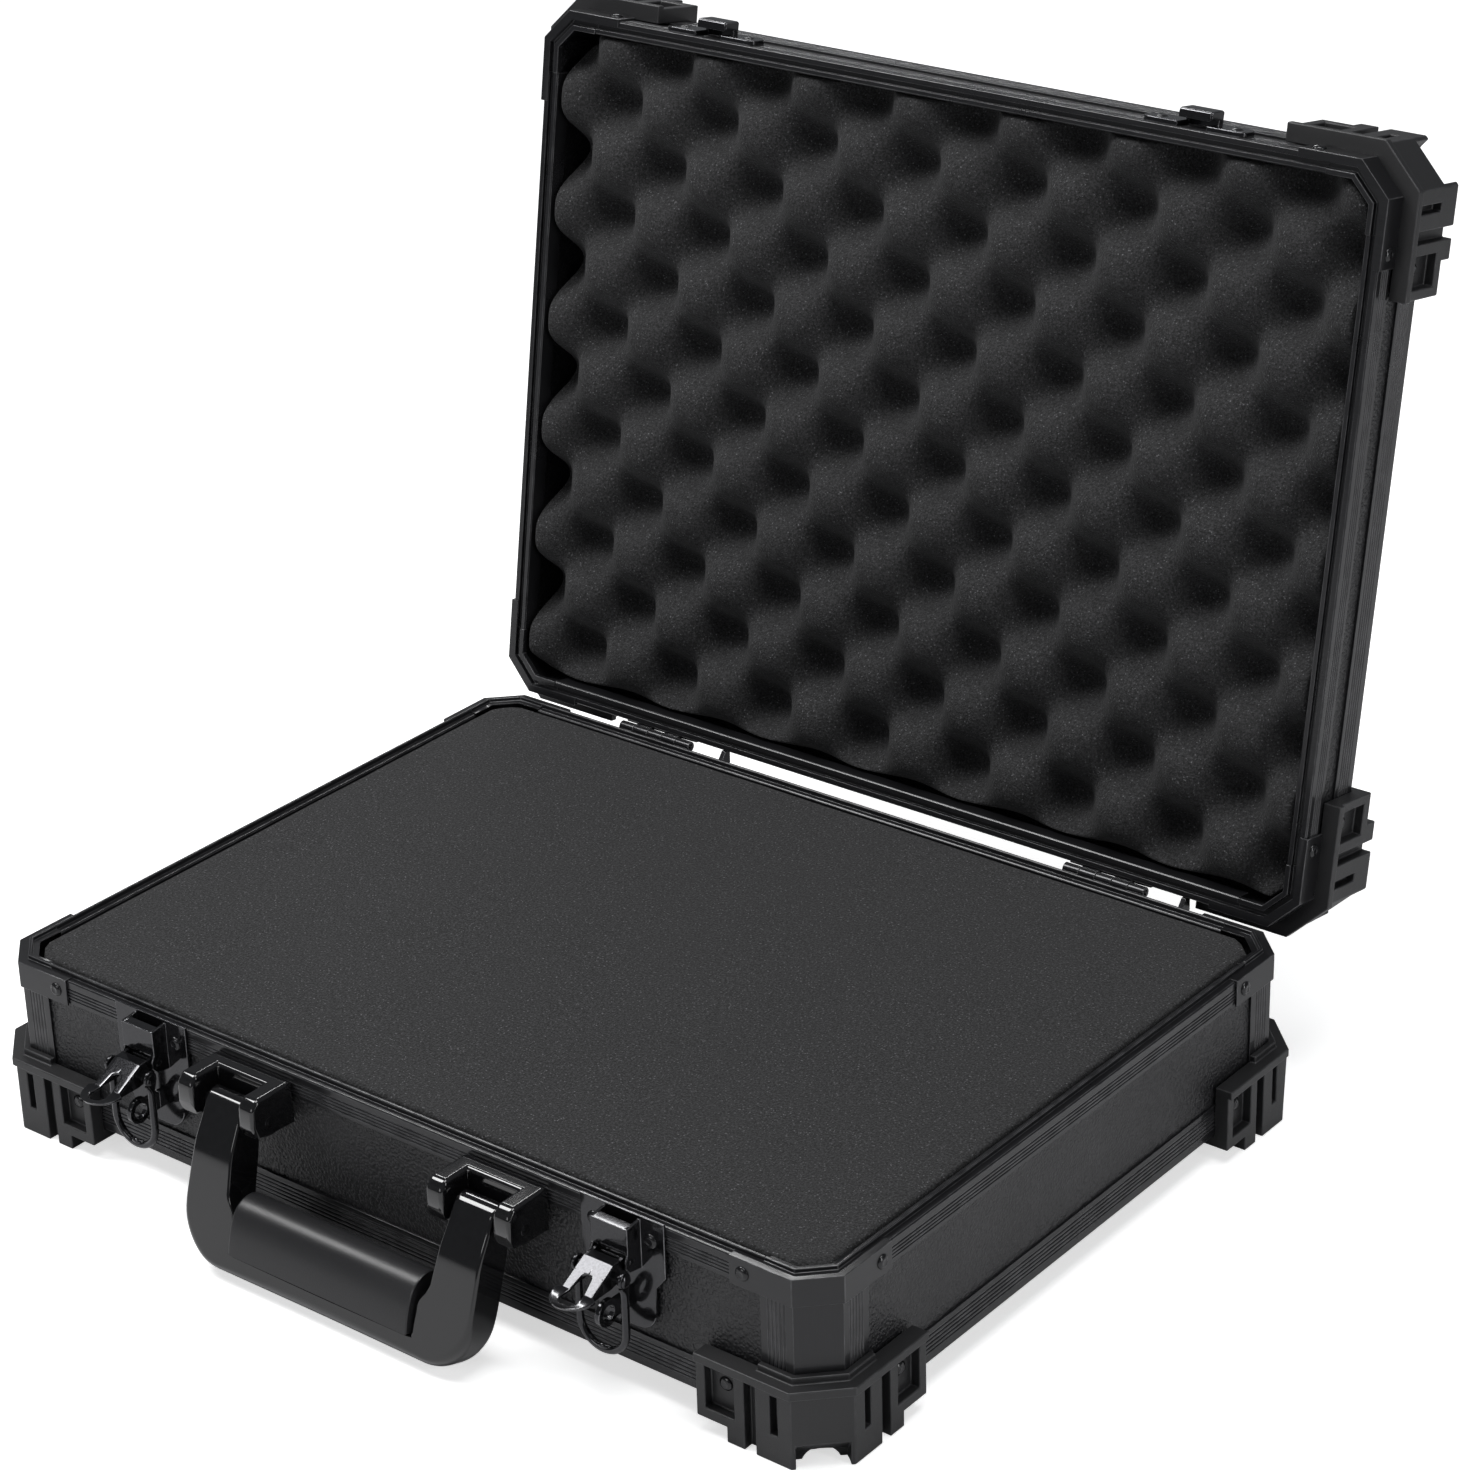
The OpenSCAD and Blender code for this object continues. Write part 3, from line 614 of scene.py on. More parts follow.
class Workshop:
    """Makes pieces, hangs them on their bodies and reports them."""

    def __init__(self, frame: dict) -> None:
        """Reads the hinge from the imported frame.
        """
        self.frame = frame
        self.paint = Paintbox()
        joint = next(j for j in frame["joints"] if j["name"] == "lid_hinge")
        self.layout = Layout(Vector(joint["pos_m"]), math.radians(joint["range_deg"][1]))

    def finish_piece(self, bm: bmesh.types.BMesh, name: str, body: str, finish: Finish,
                     nodes: Iterable[str], smooth: float = 40.0, weighted: bool = True
                     ) -> bpy.types.Object:
        """Makes a finished piece from a mesh in row metres.

        Args:
            bm: the mesh, freed here.
            name: piece name.
            body: body it rides on.
            finish: its surface.
            nodes: CAD nodes it stands for.
            smooth: edges flatter than this, in degrees, shade smoothly.
            weighted: whether large faces keep flat shading.

        Returns:
            The new object.
        """
        bmesh.ops.recalc_face_normals(bm, faces=bm.faces)
        mesh = bpy.data.meshes.new(name)
        bm.to_mesh(mesh)
        bm.free()
        mesh.polygons.foreach_set("use_smooth", [True] * len(mesh.polygons))
        mesh.set_sharp_from_angle(angle=math.radians(smooth))
        piece = bpy.data.objects.new(name, mesh)
        bpy.context.scene.collection.objects.link(piece)
        mesh.materials.append(self.paint.material(finish))
        if weighted:
            flat = piece.modifiers.new("Flat faces", "WEIGHTED_NORMAL")
            flat.keep_sharp = True
        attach(piece, body)
        stands_for = list(nodes)
        if stands_for:
            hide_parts(*stands_for)
        LOG.info("%s on %s: %d faces", name, body, len(mesh.polygons))
        return piece

    def soften(self, node: str, body: str, finish: Finish, width: float,
               segments: int = 2, sharper: float = 28.0) -> bpy.types.Object:
        """Makes a piece with a CAD node's shape and rounded edges.

        Args:
            node: CAD node to copy and replace.
            body: body it rides on.
            finish: its surface.
            width: rounding, in mm.
            segments: facets across each rounding.
            sharper: smallest angle that is rounded, in degrees.

        Returns:
            The new object.
        """
        bm = bmesh.new()
        bm.from_mesh(self.frame["nodes"][node].data)
        bmesh.ops.remove_doubles(bm, verts=bm.verts, dist=WELD)
        bmesh.ops.dissolve_limit(bm, angle_limit=FLAT_ANGLE, verts=bm.verts,
                                 edges=bm.edges)
        round_edges(bm, width * MM, segments, sharper)
        return self.finish_piece(bm, node + "_dressed", body, finish, [node])

    def cross_pins(self, node: str, middle: float, height: Pair, end: Sequence[Pair],
                   steps: int = 32) -> None:
        """Turns a pin across each side of the case, riding on the base.

        Args:
            node: CAD node the pins replace.
            middle: distance of each pin's middle from the case's, in mm.
            height: the pins' depth and height, in mm.
            end: (radius, reach) points of one end, from the axis outwards.
            steps: facets round the pins.
        """
        bm = bmesh.new()
        for side in Side:
            spot = (side.value * middle, *height)
            place = (self.layout.base @ Matrix.Translation(spot)
                     @ Matrix.Rotation(math.pi / 2, 4, "Y"))
            spin_profile(bm, both_ends(end), place, steps)
        self.finish_piece(bm, node + "_dressed", "base", PIN_STEEL, [node])


# ---------- the case ----------


@dataclass
class CaseHalf:
    """Panels, rails, posts, caps and bumpers of the base or the lid."""

    body: str
    rail: Finish
    post: Finish
    face: str
    panel_round: float = 0.3
    rail_round: float = 0.18
    cap_round: float = 0.35
    bumper_round: float = 0.6
    rivet_heads: list[Pair] = field(default_factory=lambda: [
        (3.2, -0.05), (3.2, 0.25), (3.0, 0.55), (2.5, 0.95), (1.9, 1.2), (1.55, 1.28),
        (1.3, 1.16), (0.6, 1.1), (0, 1.1)])

    def build(self, shop: Workshop) -> None:
        """Makes and dresses every piece of this half."""
        for name in (self.face, "front", "back", "left", "right"):
            shop.soften(f"{self.body}_{name}_panel", self.body, LEATHER_SHEET,
                        self.panel_round)
        for name in ("front", "back", "left", "right"):
            shop.soften(f"{self.body}_rim_{name}", self.body, self.rail, self.rail_round)
        shop.soften(f"{self.body}_edge_rails", self.body, self.rail, self.rail_round)
        shop.soften(f"{self.body}_corner_posts", self.body, self.post, self.rail_round)
        shop.soften(f"{self.body}_corner_caps", self.body, self.rail, self.cap_round)
        for depth in ("front", "back"):
            for side in Side:
                shop.soften(f"{self.body}_bumper_{depth}_{side.word}", self.body,
                            MOULDED_BUMPER, self.bumper_round, 3)
        self.rivets(shop)

    def rivets(self, shop: Workshop) -> None:
        """Turns a domed, dimpled head over each of the CAD rivets."""
        node = f"{self.body}_rivets"
        bm = bmesh.new()
        for centre, out in rivet_spots(shop.frame["nodes"][node]):
            turn = Vector((0, 0, 1)).rotation_difference(out).to_matrix().to_4x4()
            place = Matrix.Translation(centre) @ turn @ Matrix.Scale(MM, 4)
            spin_profile(bm, self.rivet_heads, place, 28)
        shop.finish_piece(bm, node + "_dressed", self.body, RIVET_BLACK, [node], 50)


def rivet_spots(node: bpy.types.Object) -> list[tuple[Vector, Vector]]:
    """Finds each rivet of a CAD node.

    Args:
        node: the object whose separate solids are the rivets.

    Returns:
        The middle of each rivet's seat and the direction its head faces.
    """
    bm = bmesh.new()
    bm.from_mesh(node.data)
    bmesh.ops.remove_doubles(bm, verts=bm.verts, dist=WELD)
    bmesh.ops.dissolve_limit(bm, angle_limit=FLAT_ANGLE, verts=bm.verts, edges=bm.edges)
    found: list[tuple[Vector, Vector]] = []
    discs = sorted((f for f in bm.faces if len(f.verts) > 8), key=lambda f: -f.calc_area())
    biggest = discs[0].calc_area()
    for face in discs:
        if face.calc_area() > 0.9 * biggest:
            found.append((face.calc_center_median(), -face.normal.copy()))
    bm.free()
    return found


@dataclass
class FoamLining:
    """A foam insert: an octagonal block whose open face is shaped.

    Lengths are in mm; the open face is drawn upwards and then placed.
    """

    body: str
    half_w: float = 220.4
    half_d: float = 160.4
    corner: float = 9.0
    top: float = -0.7
    bottom: float = -66.5
    pitch: float = 4.0
    lip: float = 2.0
    crate_pitch: Pair = (58.25, 54.75)
    crate_depth: float = 0.0
    crate_peak: Pair = (-15.2, 7.4)
    wall_steps: Triple = (0.35, 0.7, 1.0)

    def to_edge(self, x: float, y: float) -> float:
        """Distance inwards from the block's outline."""
        corner = (self.half_w + self.half_d - self.corner - abs(x) - abs(y)) / math.sqrt(2)
        return min(self.half_w - abs(x), self.half_d - abs(y), corner)

    def sink(self, x: float, y: float) -> float:
        """How far into a pit a point of the egg crate lies, from 0 to 1."""
        wave = (math.cos(math.tau * (x - self.crate_peak[0]) / self.crate_pitch[0])
                * math.cos(math.tau * (y - self.crate_peak[1]) / self.crate_pitch[1]))
        return ((1 - wave) / 2) ** 1.6

    def height(self, x: float, y: float) -> float:
        """Height of the open face at a point."""
        z = self.top
        if self.crate_depth:
            z -= self.crate_depth * self.sink(x, y)
        z += 0.25 * noise.noise(Vector((x, y, 0)) * 0.03)
        edge = max(self.to_edge(x, y), 0.0)
        if edge < self.lip:
            z -= self.lip - math.sqrt(self.lip ** 2 - (self.lip - edge) ** 2)
        return z

    def marks(self, half: float) -> list[float]:
        """Grid positions along one axis, closer together near the edge."""
        inner = half - 3.5
        count = max(2, round(2 * inner / self.pitch))
        middle = [-inner + 2 * inner * i / count for i in range(count + 1)]
        rim = [half, half - 0.15, half - 0.6, half - 1.4]
        return [-r for r in rim] + middle + rim[::-1]

    def build(self, shop: Workshop, place: Matrix, name: str) -> bpy.types.Object:
        """Makes the insert.

        Args:
            shop: where pieces are made.
            place: from this block's mm to row metres.
            name: the CAD node it replaces.

        Returns:
            The foam piece.
        """
        bm = bmesh.new()
        xs, ys = self.marks(self.half_w), self.marks(self.half_d)
        rows: list[list[bmesh.types.BMVert]] = []
        for y in ys:
            row = []
            for x in xs:
                over = abs(x) + abs(y) - (self.half_w + self.half_d - self.corner)
                px, py = x, y
                if over > 0:
                    px -= math.copysign(over / 2, x)
                    py -= math.copysign(over / 2, y)
                row.append(bm.verts.new((px, py, self.height(px, py))))
            rows.append(row)
        for low, high in zip(rows, rows[1:]):
            for i in range(len(xs) - 1):
                bm.faces.new((low[i], low[i + 1], high[i + 1], high[i]))
        border = (rows[0][:-1] + [r[-1] for r in rows[:-1]] + rows[-1][:0:-1]
                  + [r[0] for r in rows[:0:-1]])
        ring = border
        for share in self.wall_steps:
            lower = [bm.verts.new((v.co.x, v.co.y, v.co.z * (1 - share) + self.bottom * share))
                     for v in border]
            for i in range(len(ring)):
                n = (i + 1) % len(ring)
                bm.faces.new((ring[n], ring[i], lower[i], lower[n]))
            ring = lower
        bm.faces.new(ring)
        bmesh.ops.transform(bm, matrix=place, verts=bm.verts)
        bmesh.ops.remove_doubles(bm, verts=bm.verts, dist=1e-5)
        piece = shop.finish_piece(bm, name + "_dressed", self.body, LINING_FOAM, [name],
                                  75, False)
        return piece


@dataclass
class Hinges:
    """Both hinges with their leaves, knuckles and pins."""

    leaf_round: float = 0.28
    pin_radius: float = 1.3
    width: float = 44.0
    middle: float = 132.0

    def build(self, shop: Workshop) -> None:
        """Makes the leaves on their bodies and the two pins."""
        for side in Side:
            shop.soften(f"hinge_base_leaf_{side.word}", "base", HINGE_BLACK, self.leaf_round)
            shop.soften(f"hinge_lid_leaf_{side.word}", "lid", HINGE_BLACK, self.leaf_round)
        r, end = self.pin_radius, self.width / 2 + 0.4
        shop.cross_pins("hinge_pins", self.middle, shop.layout.pin,
                        [(0, end), (r * 0.7, end), (r, end - 0.4)])


@dataclass
class CarryHandle:
    """The swinging handle: two brackets, pins, frame and grip. Lengths in mm."""

    bracket_round: float = 1.9
    half_w: float = 81.0
    drop: float = 68.0
    corner: float = 22.0
    head: float = 6.4
    front: float = -9.3
    back: float = 8.0
    grip_half: float = 50.7
    pin_radius: float = 2.5
    pin_reach: float = 22.6
    pin_middle: float = 71.0
    # Outer-rounding facets of the hoop given the lighter edge colour: scuffing plus painted
    # highlight.
    rubbed: tuple[int, ...] = (2, 3, 23, 24)

    def build(self, shop: Workshop) -> None:
        """Makes every piece of the handle."""
        for side in Side:
            shop.soften(f"handle_bracket_{side.word}", "base", GLOSS_BLACK,
                        self.bracket_round, 5)
        self.pins(shop)
        self.hoop(shop)
        self.grip(shop)

    def pins(self, shop: Workshop) -> None:
        """Turns the two pivot pins, their dished ends just proud of the ears."""
        end = [(0, 0.2), (1.2, 0.2), (1.5, 0.0), (2.2, 0.0), (self.pin_radius, -0.3)]
        shop.cross_pins("handle_pins", self.pin_middle, shop.layout.handle_pin,
                        [(r, self.pin_reach + z) for r, z in end])

    def stations(self) -> list[tuple[Pair, Pair]]:
        """Outer and inner points (x, z) along the right half, from the pivot to the middle."""
        inner = [(6.4, 60.0), (-18.0, 58.5), (-34.0, 57.0), (-37.0, 55.8), (-40.0, 53.6),
                 (-43.0, 51.6), (-58.0, 51.5)]

        def inner_x(z: float) -> float:
            """Inner edge of the arm at a height."""
            for (za, xa), (zb, xb) in zip(inner, inner[1:]):
                if z >= zb:
                    return xa + (xb - xa) * (za - z) / (za - zb)
            return inner[-1][1]

        arm = [6.35, 6.2, 5.8, 5.2, 4.2, 2.8, 1.0, -1.5, -5.0, -10.0, -15.0, -20.0, -25.0,
               -30.0, -34.0, -36.0, -38.0, -40.0, -42.0, -44.0]
        made = [((self.half_w, z), (inner_x(z), z)) for z in arm]
        middle = (self.half_w - self.corner, self.corner - self.drop)
        for step in range(17):
            turn = math.pi / 2 * step / 16
            outer = (middle[0] + self.corner * math.cos(turn),
                     middle[1] - self.corner * math.sin(turn))
            share = step / 16
            if share <= 0.7:
                made.append((outer, (51.5, -46.0 - 12.0 * share / 0.7)))
            else:
                made.append((outer, (51.5 - 3.0 * (share - 0.7) / 0.3, -58.0)))
        for step in range(1, 7):
            share = 1 - step / 6
            made.append(((middle[0] * share, -self.drop), (48.5 * share, -58.0)))
        return made

    def faces_at(self, z: float) -> Pair:
        """Front and back face of the hoop at a height."""
        if z >= 0:
            half = math.sqrt(max(self.head ** 2 - z * z, 0.01))
            return -half, half
        share = min(-z / 20.0, 1.0)
        share = share * share * (3 - 2 * share)
        return (-self.head + (self.front + self.head) * share,
                self.head + (self.back - self.head) * share)

    def hoop(self, shop: Workshop) -> None:
        """Lofts the hoop: two arms, round corners and the band under the grip."""
        half = self.stations()
        whole = half + [((-a[0], a[1]), (-b[0], b[1])) for a, b in half[-2::-1]]
        place = shop.layout.handle()
        bm = bmesh.new()
        mark = bm.faces.layers.float.new(SCUFFED_AND_HIGHLIT_EDGE)
        rings = []
        for outer, inner in whole:
            front, back = self.faces_at(min(outer[1], inner[1]))
            thick = back - front
            low = min(max((-38.0 - outer[1]) / 26.0, 0.0), 1.0)
            soft = min(1.5 + 4.3 * low * low * (3 - 2 * low), thick * 0.46)
            tight = min(1.1, thick * 0.46)
            across = Vector((inner[0] - outer[0], 0, inner[1] - outer[1]))
            wide = across.length
            across.normalize()
            section = []
            for turn in range(0, 91, 15):
                a = math.radians(turn)
                section.append((soft * (1 - math.cos(a)), front + soft * (1 - math.sin(a))))
            for turn in range(90, -1, -15):
                a = math.radians(turn)
                section.append((wide - tight * (1 - math.cos(a)),
                                front + tight * (1 - math.sin(a))))
            for turn in range(0, 91, 15):
                a = math.radians(turn)
                section.append((wide - tight * (1 - math.cos(a)),
                                back - tight * (1 - math.sin(a))))
            for turn in range(90, -1, -15):
                a = math.radians(turn)
                section.append((soft * (1 - math.cos(a)), back - soft * (1 - math.sin(a))))
            start = Vector((outer[0], 0, outer[1]))
            rings.append([bm.verts.new(place @ (start + across * u + Vector((0, y, 0))))
                          for u, y in section])
        # The outer roundings take the lighter edge colour: scuffing plus a painted highlight.
        for band in join_rings(bm, rings):
            for k in self.rubbed:
                band[k][mark] = 1.0
        shop.finish_piece(bm, "handle_frame_dressed", "handle", GLOSS_BLACK,
                          ["handle_frame"], 35)

    def grip(self, shop: Workshop) -> None:
        """Extrudes the grip from a smooth section with softly turned ends."""
        control = [(-11.3, -57.7), (-12.0, -51.5), (-12.1, -44.5), (-10.9, -38.0),
                   (-7.6, -33.6), (-2.0, -31.3), (3.2, -32.4), (6.8, -36.4), (7.4, -43.0),
                   (7.3, -57.7)]
        section = []
        for i, point in enumerate(control[:-1]):
            before, after = control[max(i - 1, 0)], control[i + 1]
            later = control[min(i + 2, len(control) - 1)]
            for k in range(5):
                section.append(blend_point(before, point, after, later, k / 5))
        section.append(control[-1])
        middle = (sum(p[0] for p in section) / len(section),
                  sum(p[1] for p in section) / len(section))
        stations = [(-self.grip_half, 0.965), (-self.grip_half + 0.35, 0.985),
                    (-self.grip_half + 1.0, 1.0)]
        stations += [(x, 1.0) for x in range(-45, 50, 10)]
        stations += [(-x, share) for x, share in stations[2::-1]]
        bm = bmesh.new()
        place = shop.layout.handle()
        rings = [[bm.verts.new(place @ Vector((
            x, middle[0] + (p[0] - middle[0]) * share, middle[1] + (p[1] - middle[1]) * share)))
            for p in section] for x, share in stations]
        join_rings(bm, rings)
        shop.finish_piece(bm, "handle_grip_dressed", "handle", GRIP_SATIN, ["handle_grip"])


def blend_point(a: Pair, b: Pair, c: Pair, d: Pair, t: float) -> Pair:
    """A point on the smooth curve from b to c.

    Args:
        a: point before b.
        b: start.
        c: end.
        d: point after c.
        t: share of the way.

    Returns:
        The point.
    """
    def part(k: int) -> float:
        """One coordinate of the curve."""
        return 0.5 * (2 * b[k] + (c[k] - a[k]) * t
                      + (2 * a[k] - 5 * b[k] + 4 * c[k] - d[k]) * t * t
                      + (3 * b[k] - a[k] - 3 * c[k] + d[k]) * t ** 3)

    return part(0), part(1)


@dataclass
class ToggleLatch:
    """One toggle latch with its lid striker. Lengths in mm."""

    side: Side
    sheet: float = 1.4
    plate_round: float = 0.4
    half_w: float = 7.5
    horn: float = 10.1
    roof: float = 6.3
    reach: float = 33.0
    wire: float = 1.7
    bail_half: float = 12.0
    bail_len: float = 38.0
    foot_low: float = 1.3
    foot_high: float = 13.4
    foot_end: float = 26.0
    foot_turn: float = 4.2
    foot_sheet: Pair = (0.02, 2.3)
    hook_half: float = 7.9

    def build(self, shop: Workshop) -> None:
        """Makes the plate, lever, rod, bail and striker."""
        word = self.side.word
        shop.soften(f"latch_plate_{word}", "base", LATCH_BLACK, self.plate_round, 2)
        self.striker(shop)
        self.lever(shop)
        self.rod(shop)
        self.bail(shop)

    def striker(self, shop: Workshop) -> None:
        """Bends the lid striker: two thick feet with round ends and a curled hook."""
        word = self.side.word
        turned = Matrix(((1, 0, 0, 0), (0, 0, -1, -170), (0, 1, 0, 0), (0, 0, 0, 1)))
        place = (shop.layout.lid @ Matrix.Translation((self.side.value * shop.layout.latch_x,
                                                       0, 0)) @ turned)
        bm = bmesh.new()
        low, high = self.foot_low, self.foot_high
        far, turn = self.foot_end, self.foot_turn
        for sign in (-1, 1):
            ends = [(sign * (far - turn + turn * math.cos(a)), high - turn + turn * math.sin(a))
                    for a in (math.radians(d) for d in range(90, -1, -15))]
            ends += [(sign * (far - turn + turn * math.cos(a)), low + turn + turn * math.sin(a))
                     for a in (math.radians(d) for d in range(0, -91, -15))]
            extrude_outline(bm, [(sign * 7.4, high), *ends, (sign * 7.4, low)],
                            self.foot_sheet, place)
        side_on = place @ Matrix(((0, 0, 1, 0), (0, 1, 0, 0), (1, 0, 0, 0), (0, 0, 0, 1)))
        curl = [(0.02, 11.6), (0.02, 13.2), (6.9, 14.2), (7.75, 13.9), (8.2, 13.0),
                (8.2, 4.4), (7.85, 3.5), (7.1, 3.15), (4.2, 3.05), (4.0, 3.6), (4.2, 4.5),
                (6.2, 4.7), (6.8, 5.4), (6.8, 11.4), (6.2, 12.0)]
        extrude_outline(bm, curl, (-self.hook_half, self.hook_half), side_on)
        for sign in (-1, 1):
            cheek = [(1.0, 10.0), (1.0, 13.4), (7.2, 13.9), (7.9, 13.4), (7.9, 4.6),
                     (7.2, 4.0), (5.0, 4.0), (4.6, 5.4), (4.2, 10.0)]
            span = sorted((sign * 6.6, sign * 8.3))
            extrude_outline(bm, cheek, (span[0], span[1]), side_on)
        bmesh.ops.recalc_face_normals(bm, faces=bm.faces)
        round_edges(bm, 0.34 * MM, 3, 40.0)
        shop.finish_piece(bm, f"latch_striker_{word}_dressed", "lid", LATCH_BLACK,
                          [f"latch_striker_{word}"])

    def outline(self, y: float) -> float:
        """Half width of the lever at a distance along it."""
        centre = -self.reach + self.horn
        if y > centre + 1.6:
            return self.half_w
        if y > centre:
            share = (centre + 1.6 - y) / 1.6
            return self.half_w + (self.horn - self.half_w) * share ** 1.6
        return math.sqrt(max(self.horn ** 2 - (y - centre) ** 2, 0.0))

    def slot(self, y: float) -> float:
        """Half width of the keyhole at a distance along the lever."""
        start, end, top, wide = -13.4, -30.2, 2.7, 4.4
        if not end < y < start:
            return 0.0
        if y > start - top:
            return math.sqrt(max(top ** 2 - (y - start + top) ** 2, 0.0))
        share = (start - top - y) / (start - top - end)
        grown = top + (wide - top) * min(share * 1.25, 1.0)
        return grown * math.sqrt(max(1 - max((share - 0.72) / 0.28, 0.0) ** 2, 0.0))

    def rise(self, y: float) -> float:
        """Height of the lever's upper face at a distance along it."""
        if y > -6.4:
            return self.roof - 0.42 * (y + 6.4)
        if y > -22.0:
            return self.roof
        return self.roof + 5.6 * ((-22.0 - y) / 11.0) ** 1.35

    def lever(self, shop: Workshop) -> None:
        """Presses the lever from sheet: roof, flared lip, keyhole and two side flanges."""
        word = self.side.word
        place = shop.layout.lever(self.side)
        ys = [-2.75, -3.6, -4.8, -6.1, -6.4, -6.7, -8.5, -11.0, -13.0, -13.401]
        ys += [-13.55, -13.9, -14.5, -15.2, -16.1, -17.5, -19.0, -20.5, -21.4, -22.0, -22.4]
        ys += [-23.2, -24.4, -25.6, -26.8, -27.9, -28.8, -29.5, -29.95, -30.16, -30.201]
        ys += [-30.8, -31.3, -31.8, -32.4, -32.8, -32.97]
        bm = bmesh.new()
        columns = 4
        rows = []
        for y in ys:
            hole, edge = self.slot(y), self.outline(y)
            hole = min(hole, edge - 0.4)
            half = [hole + (edge - hole) * k / columns for k in range(columns + 1)]
            z = self.rise(y)
            rows.append([[bm.verts.new((sign * x, y, z)) for x in half] for sign in (-1, 1)])
        for a, b in zip(rows, rows[1:]):
            for low, high in zip(a, b):
                for k in range(columns):
                    bm.faces.new((low[k], low[k + 1], high[k + 1], high[k]))
        bmesh.ops.remove_doubles(bm, verts=bm.verts, dist=0.004)
        bmesh.ops.recalc_face_normals(bm, faces=bm.faces)
        if sum(f.normal.z for f in bm.faces) < 0:
            bmesh.ops.reverse_faces(bm, faces=bm.faces)
        whole = bmesh.ops.duplicate(bm, geom=bm.verts[:] + bm.edges[:] + bm.faces[:])
        under = [g for g in whole["geom"] if isinstance(g, bmesh.types.BMVert)]
        pairs = {top: low for top, low in whole["vert_map"].items() if low in set(under)}
        rim = [e for e in bm.edges if e.is_boundary and e.verts[0] in pairs]
        for low in under:
            low.co.z -= self.sheet
        bmesh.ops.reverse_faces(bm, faces=[g for g in whole["geom"]
                                           if isinstance(g, bmesh.types.BMFace)])
        for edge in rim:
            p, q = edge.verts
            bm.faces.new((p, q, pairs[q], pairs[p]))
        bmesh.ops.recalc_face_normals(bm, faces=bm.faces)
        round_edges(bm, 0.32, 2, 50.0)
        flange = bmesh.new()
        for sign in (-1, 1):
            turn = (Matrix.Translation((sign * (self.half_w - 0.6), 0, 0))
                    @ Matrix(((0, 0, 1, 0), (1, 0, 0, 0), (0, 1, 0, 0), (0, 0, 0, 1))))
            arc = [(3.4 * math.cos(a), 3.4 * math.sin(a)) for a in
                   (math.radians(d) for d in range(-80, 91, 17))]
            extrude_outline(flange, arc + [(-3.0, 4.25), (-5.2, self.roof - 1.2),
                                           (-22.6, self.roof - 1.2), (-23.4, 4.2),
                                           (-13.0, -1.6), (-7.5, -3.2)], (-0.6, 0.6), turn)
        round_edges(flange, 0.3, 2, 50.0)
        loose = bpy.data.meshes.new("flange")
        flange.to_mesh(loose)
        flange.free()
        bm.from_mesh(loose)
        bpy.data.meshes.remove(loose)
        bmesh.ops.transform(bm, matrix=place, verts=bm.verts)
        shop.finish_piece(bm, f"latch_lever_{word}_dressed", f"latch_lever_{word}",
                          LATCH_BLACK, [f"latch_lever_{word}"])

    def rod(self, shop: Workshop) -> None:
        """Turns the cross rod with a domed head at each end."""
        word = self.side.word
        place = (Matrix.Translation(shop.layout.rod(self.side)) @ Matrix.Scale(MM, 4)
                 @ Matrix.Rotation(math.pi / 2, 4, "Y"))
        head = [(0, 14.05), (1.0, 14.0), (1.9, 13.8), (2.6, 13.4), (2.85, 13.1), (1.7, 13.05)]
        bm = bmesh.new()
        spin_profile(bm, both_ends(head), place)
        shop.finish_piece(bm, f"latch_rod_{word}_dressed", f"latch_rod_{word}", LATCH_BLACK,
                          [f"latch_rod_{word}"])

    def bail(self, shop: Workshop) -> None:
        """Bends the wire bail: flattened eyes, legs, a round end and its closing joint."""
        word = self.side.word
        place = Matrix.Translation(shop.layout.rod(self.side)) @ Matrix.Scale(MM, 4)
        low = self.bail_len - self.bail_half - self.wire
        path, radii = [], []
        drops = [(-2.6, 1.05, 3.3), (-3.6, 1.15, 3.0), (-4.8, 1.4, 2.3), (-6.2, 1.62, 1.85),
                 (-7.6, self.wire, self.wire), (-14.0, self.wire, self.wire)]
        for z, thin, broad in drops:
            path.append(Vector((-self.bail_half, 0, z)))
            radii.append((broad, thin))
        for k in range(25):
            a = math.pi * k / 24
            path.append(Vector((-self.bail_half * math.cos(a), 0,
                                -low - self.bail_half * math.sin(a))))
            radii.append((self.wire, self.wire))
        for z, thin, broad in drops[::-1]:
            path.append(Vector((self.bail_half, 0, z)))
            radii.append((broad, thin))
        bm = bmesh.new()
        sweep_wire(bm, path, radii, place, Vector((0, 1, 0)), 16)
        for sign in (-1, 1):
            eye = place @ Matrix.Translation((sign * (self.bail_half - 0.2), 0, 0))
            eye = eye @ Matrix.Rotation(math.pi / 2, 4, "Y")
            spin_profile(bm, [(0, -1.0), (3.0, -1.0), (3.5, -0.55), (3.6, 0), (3.5, 0.55),
                              (3.0, 1.0), (0, 1.0)], eye, 28)
        saddle = [Vector((1.2 * t, -0.1 - 0.9 * math.cos(t * 0.9),
                          -low - self.bail_half + 1.5 + 0.5 * math.cos(t))) for t in
                  (-2.6, -1.9, -1.2, -0.5, 0.2, 0.9, 1.6, 2.3)]
        sweep_wire(bm, saddle, [(1.25, 1.25)] * len(saddle), place, Vector((0, 1, 0)), 12)
        shop.finish_piece(bm, f"latch_bail_{word}_dressed", f"latch_bail_{word}", LATCH_BLACK,
                          [f"latch_bail_{word}"], 45, False)


@dataclass
class LatchPins:
    """The pivot pins of both levers. Lengths in mm."""

    radius: float = 1.5
    reach: float = 9.7

    def build(self, shop: Workshop) -> None:
        """Turns both pins with domed ends."""
        end = [(0, 0.25), (0.9, 0.2), (self.radius, -0.15)]
        shop.cross_pins("latch_pivot_pins", shop.layout.latch_x, shop.layout.lever_pin,
                        [(r, self.reach + z) for r, z in end], 24)


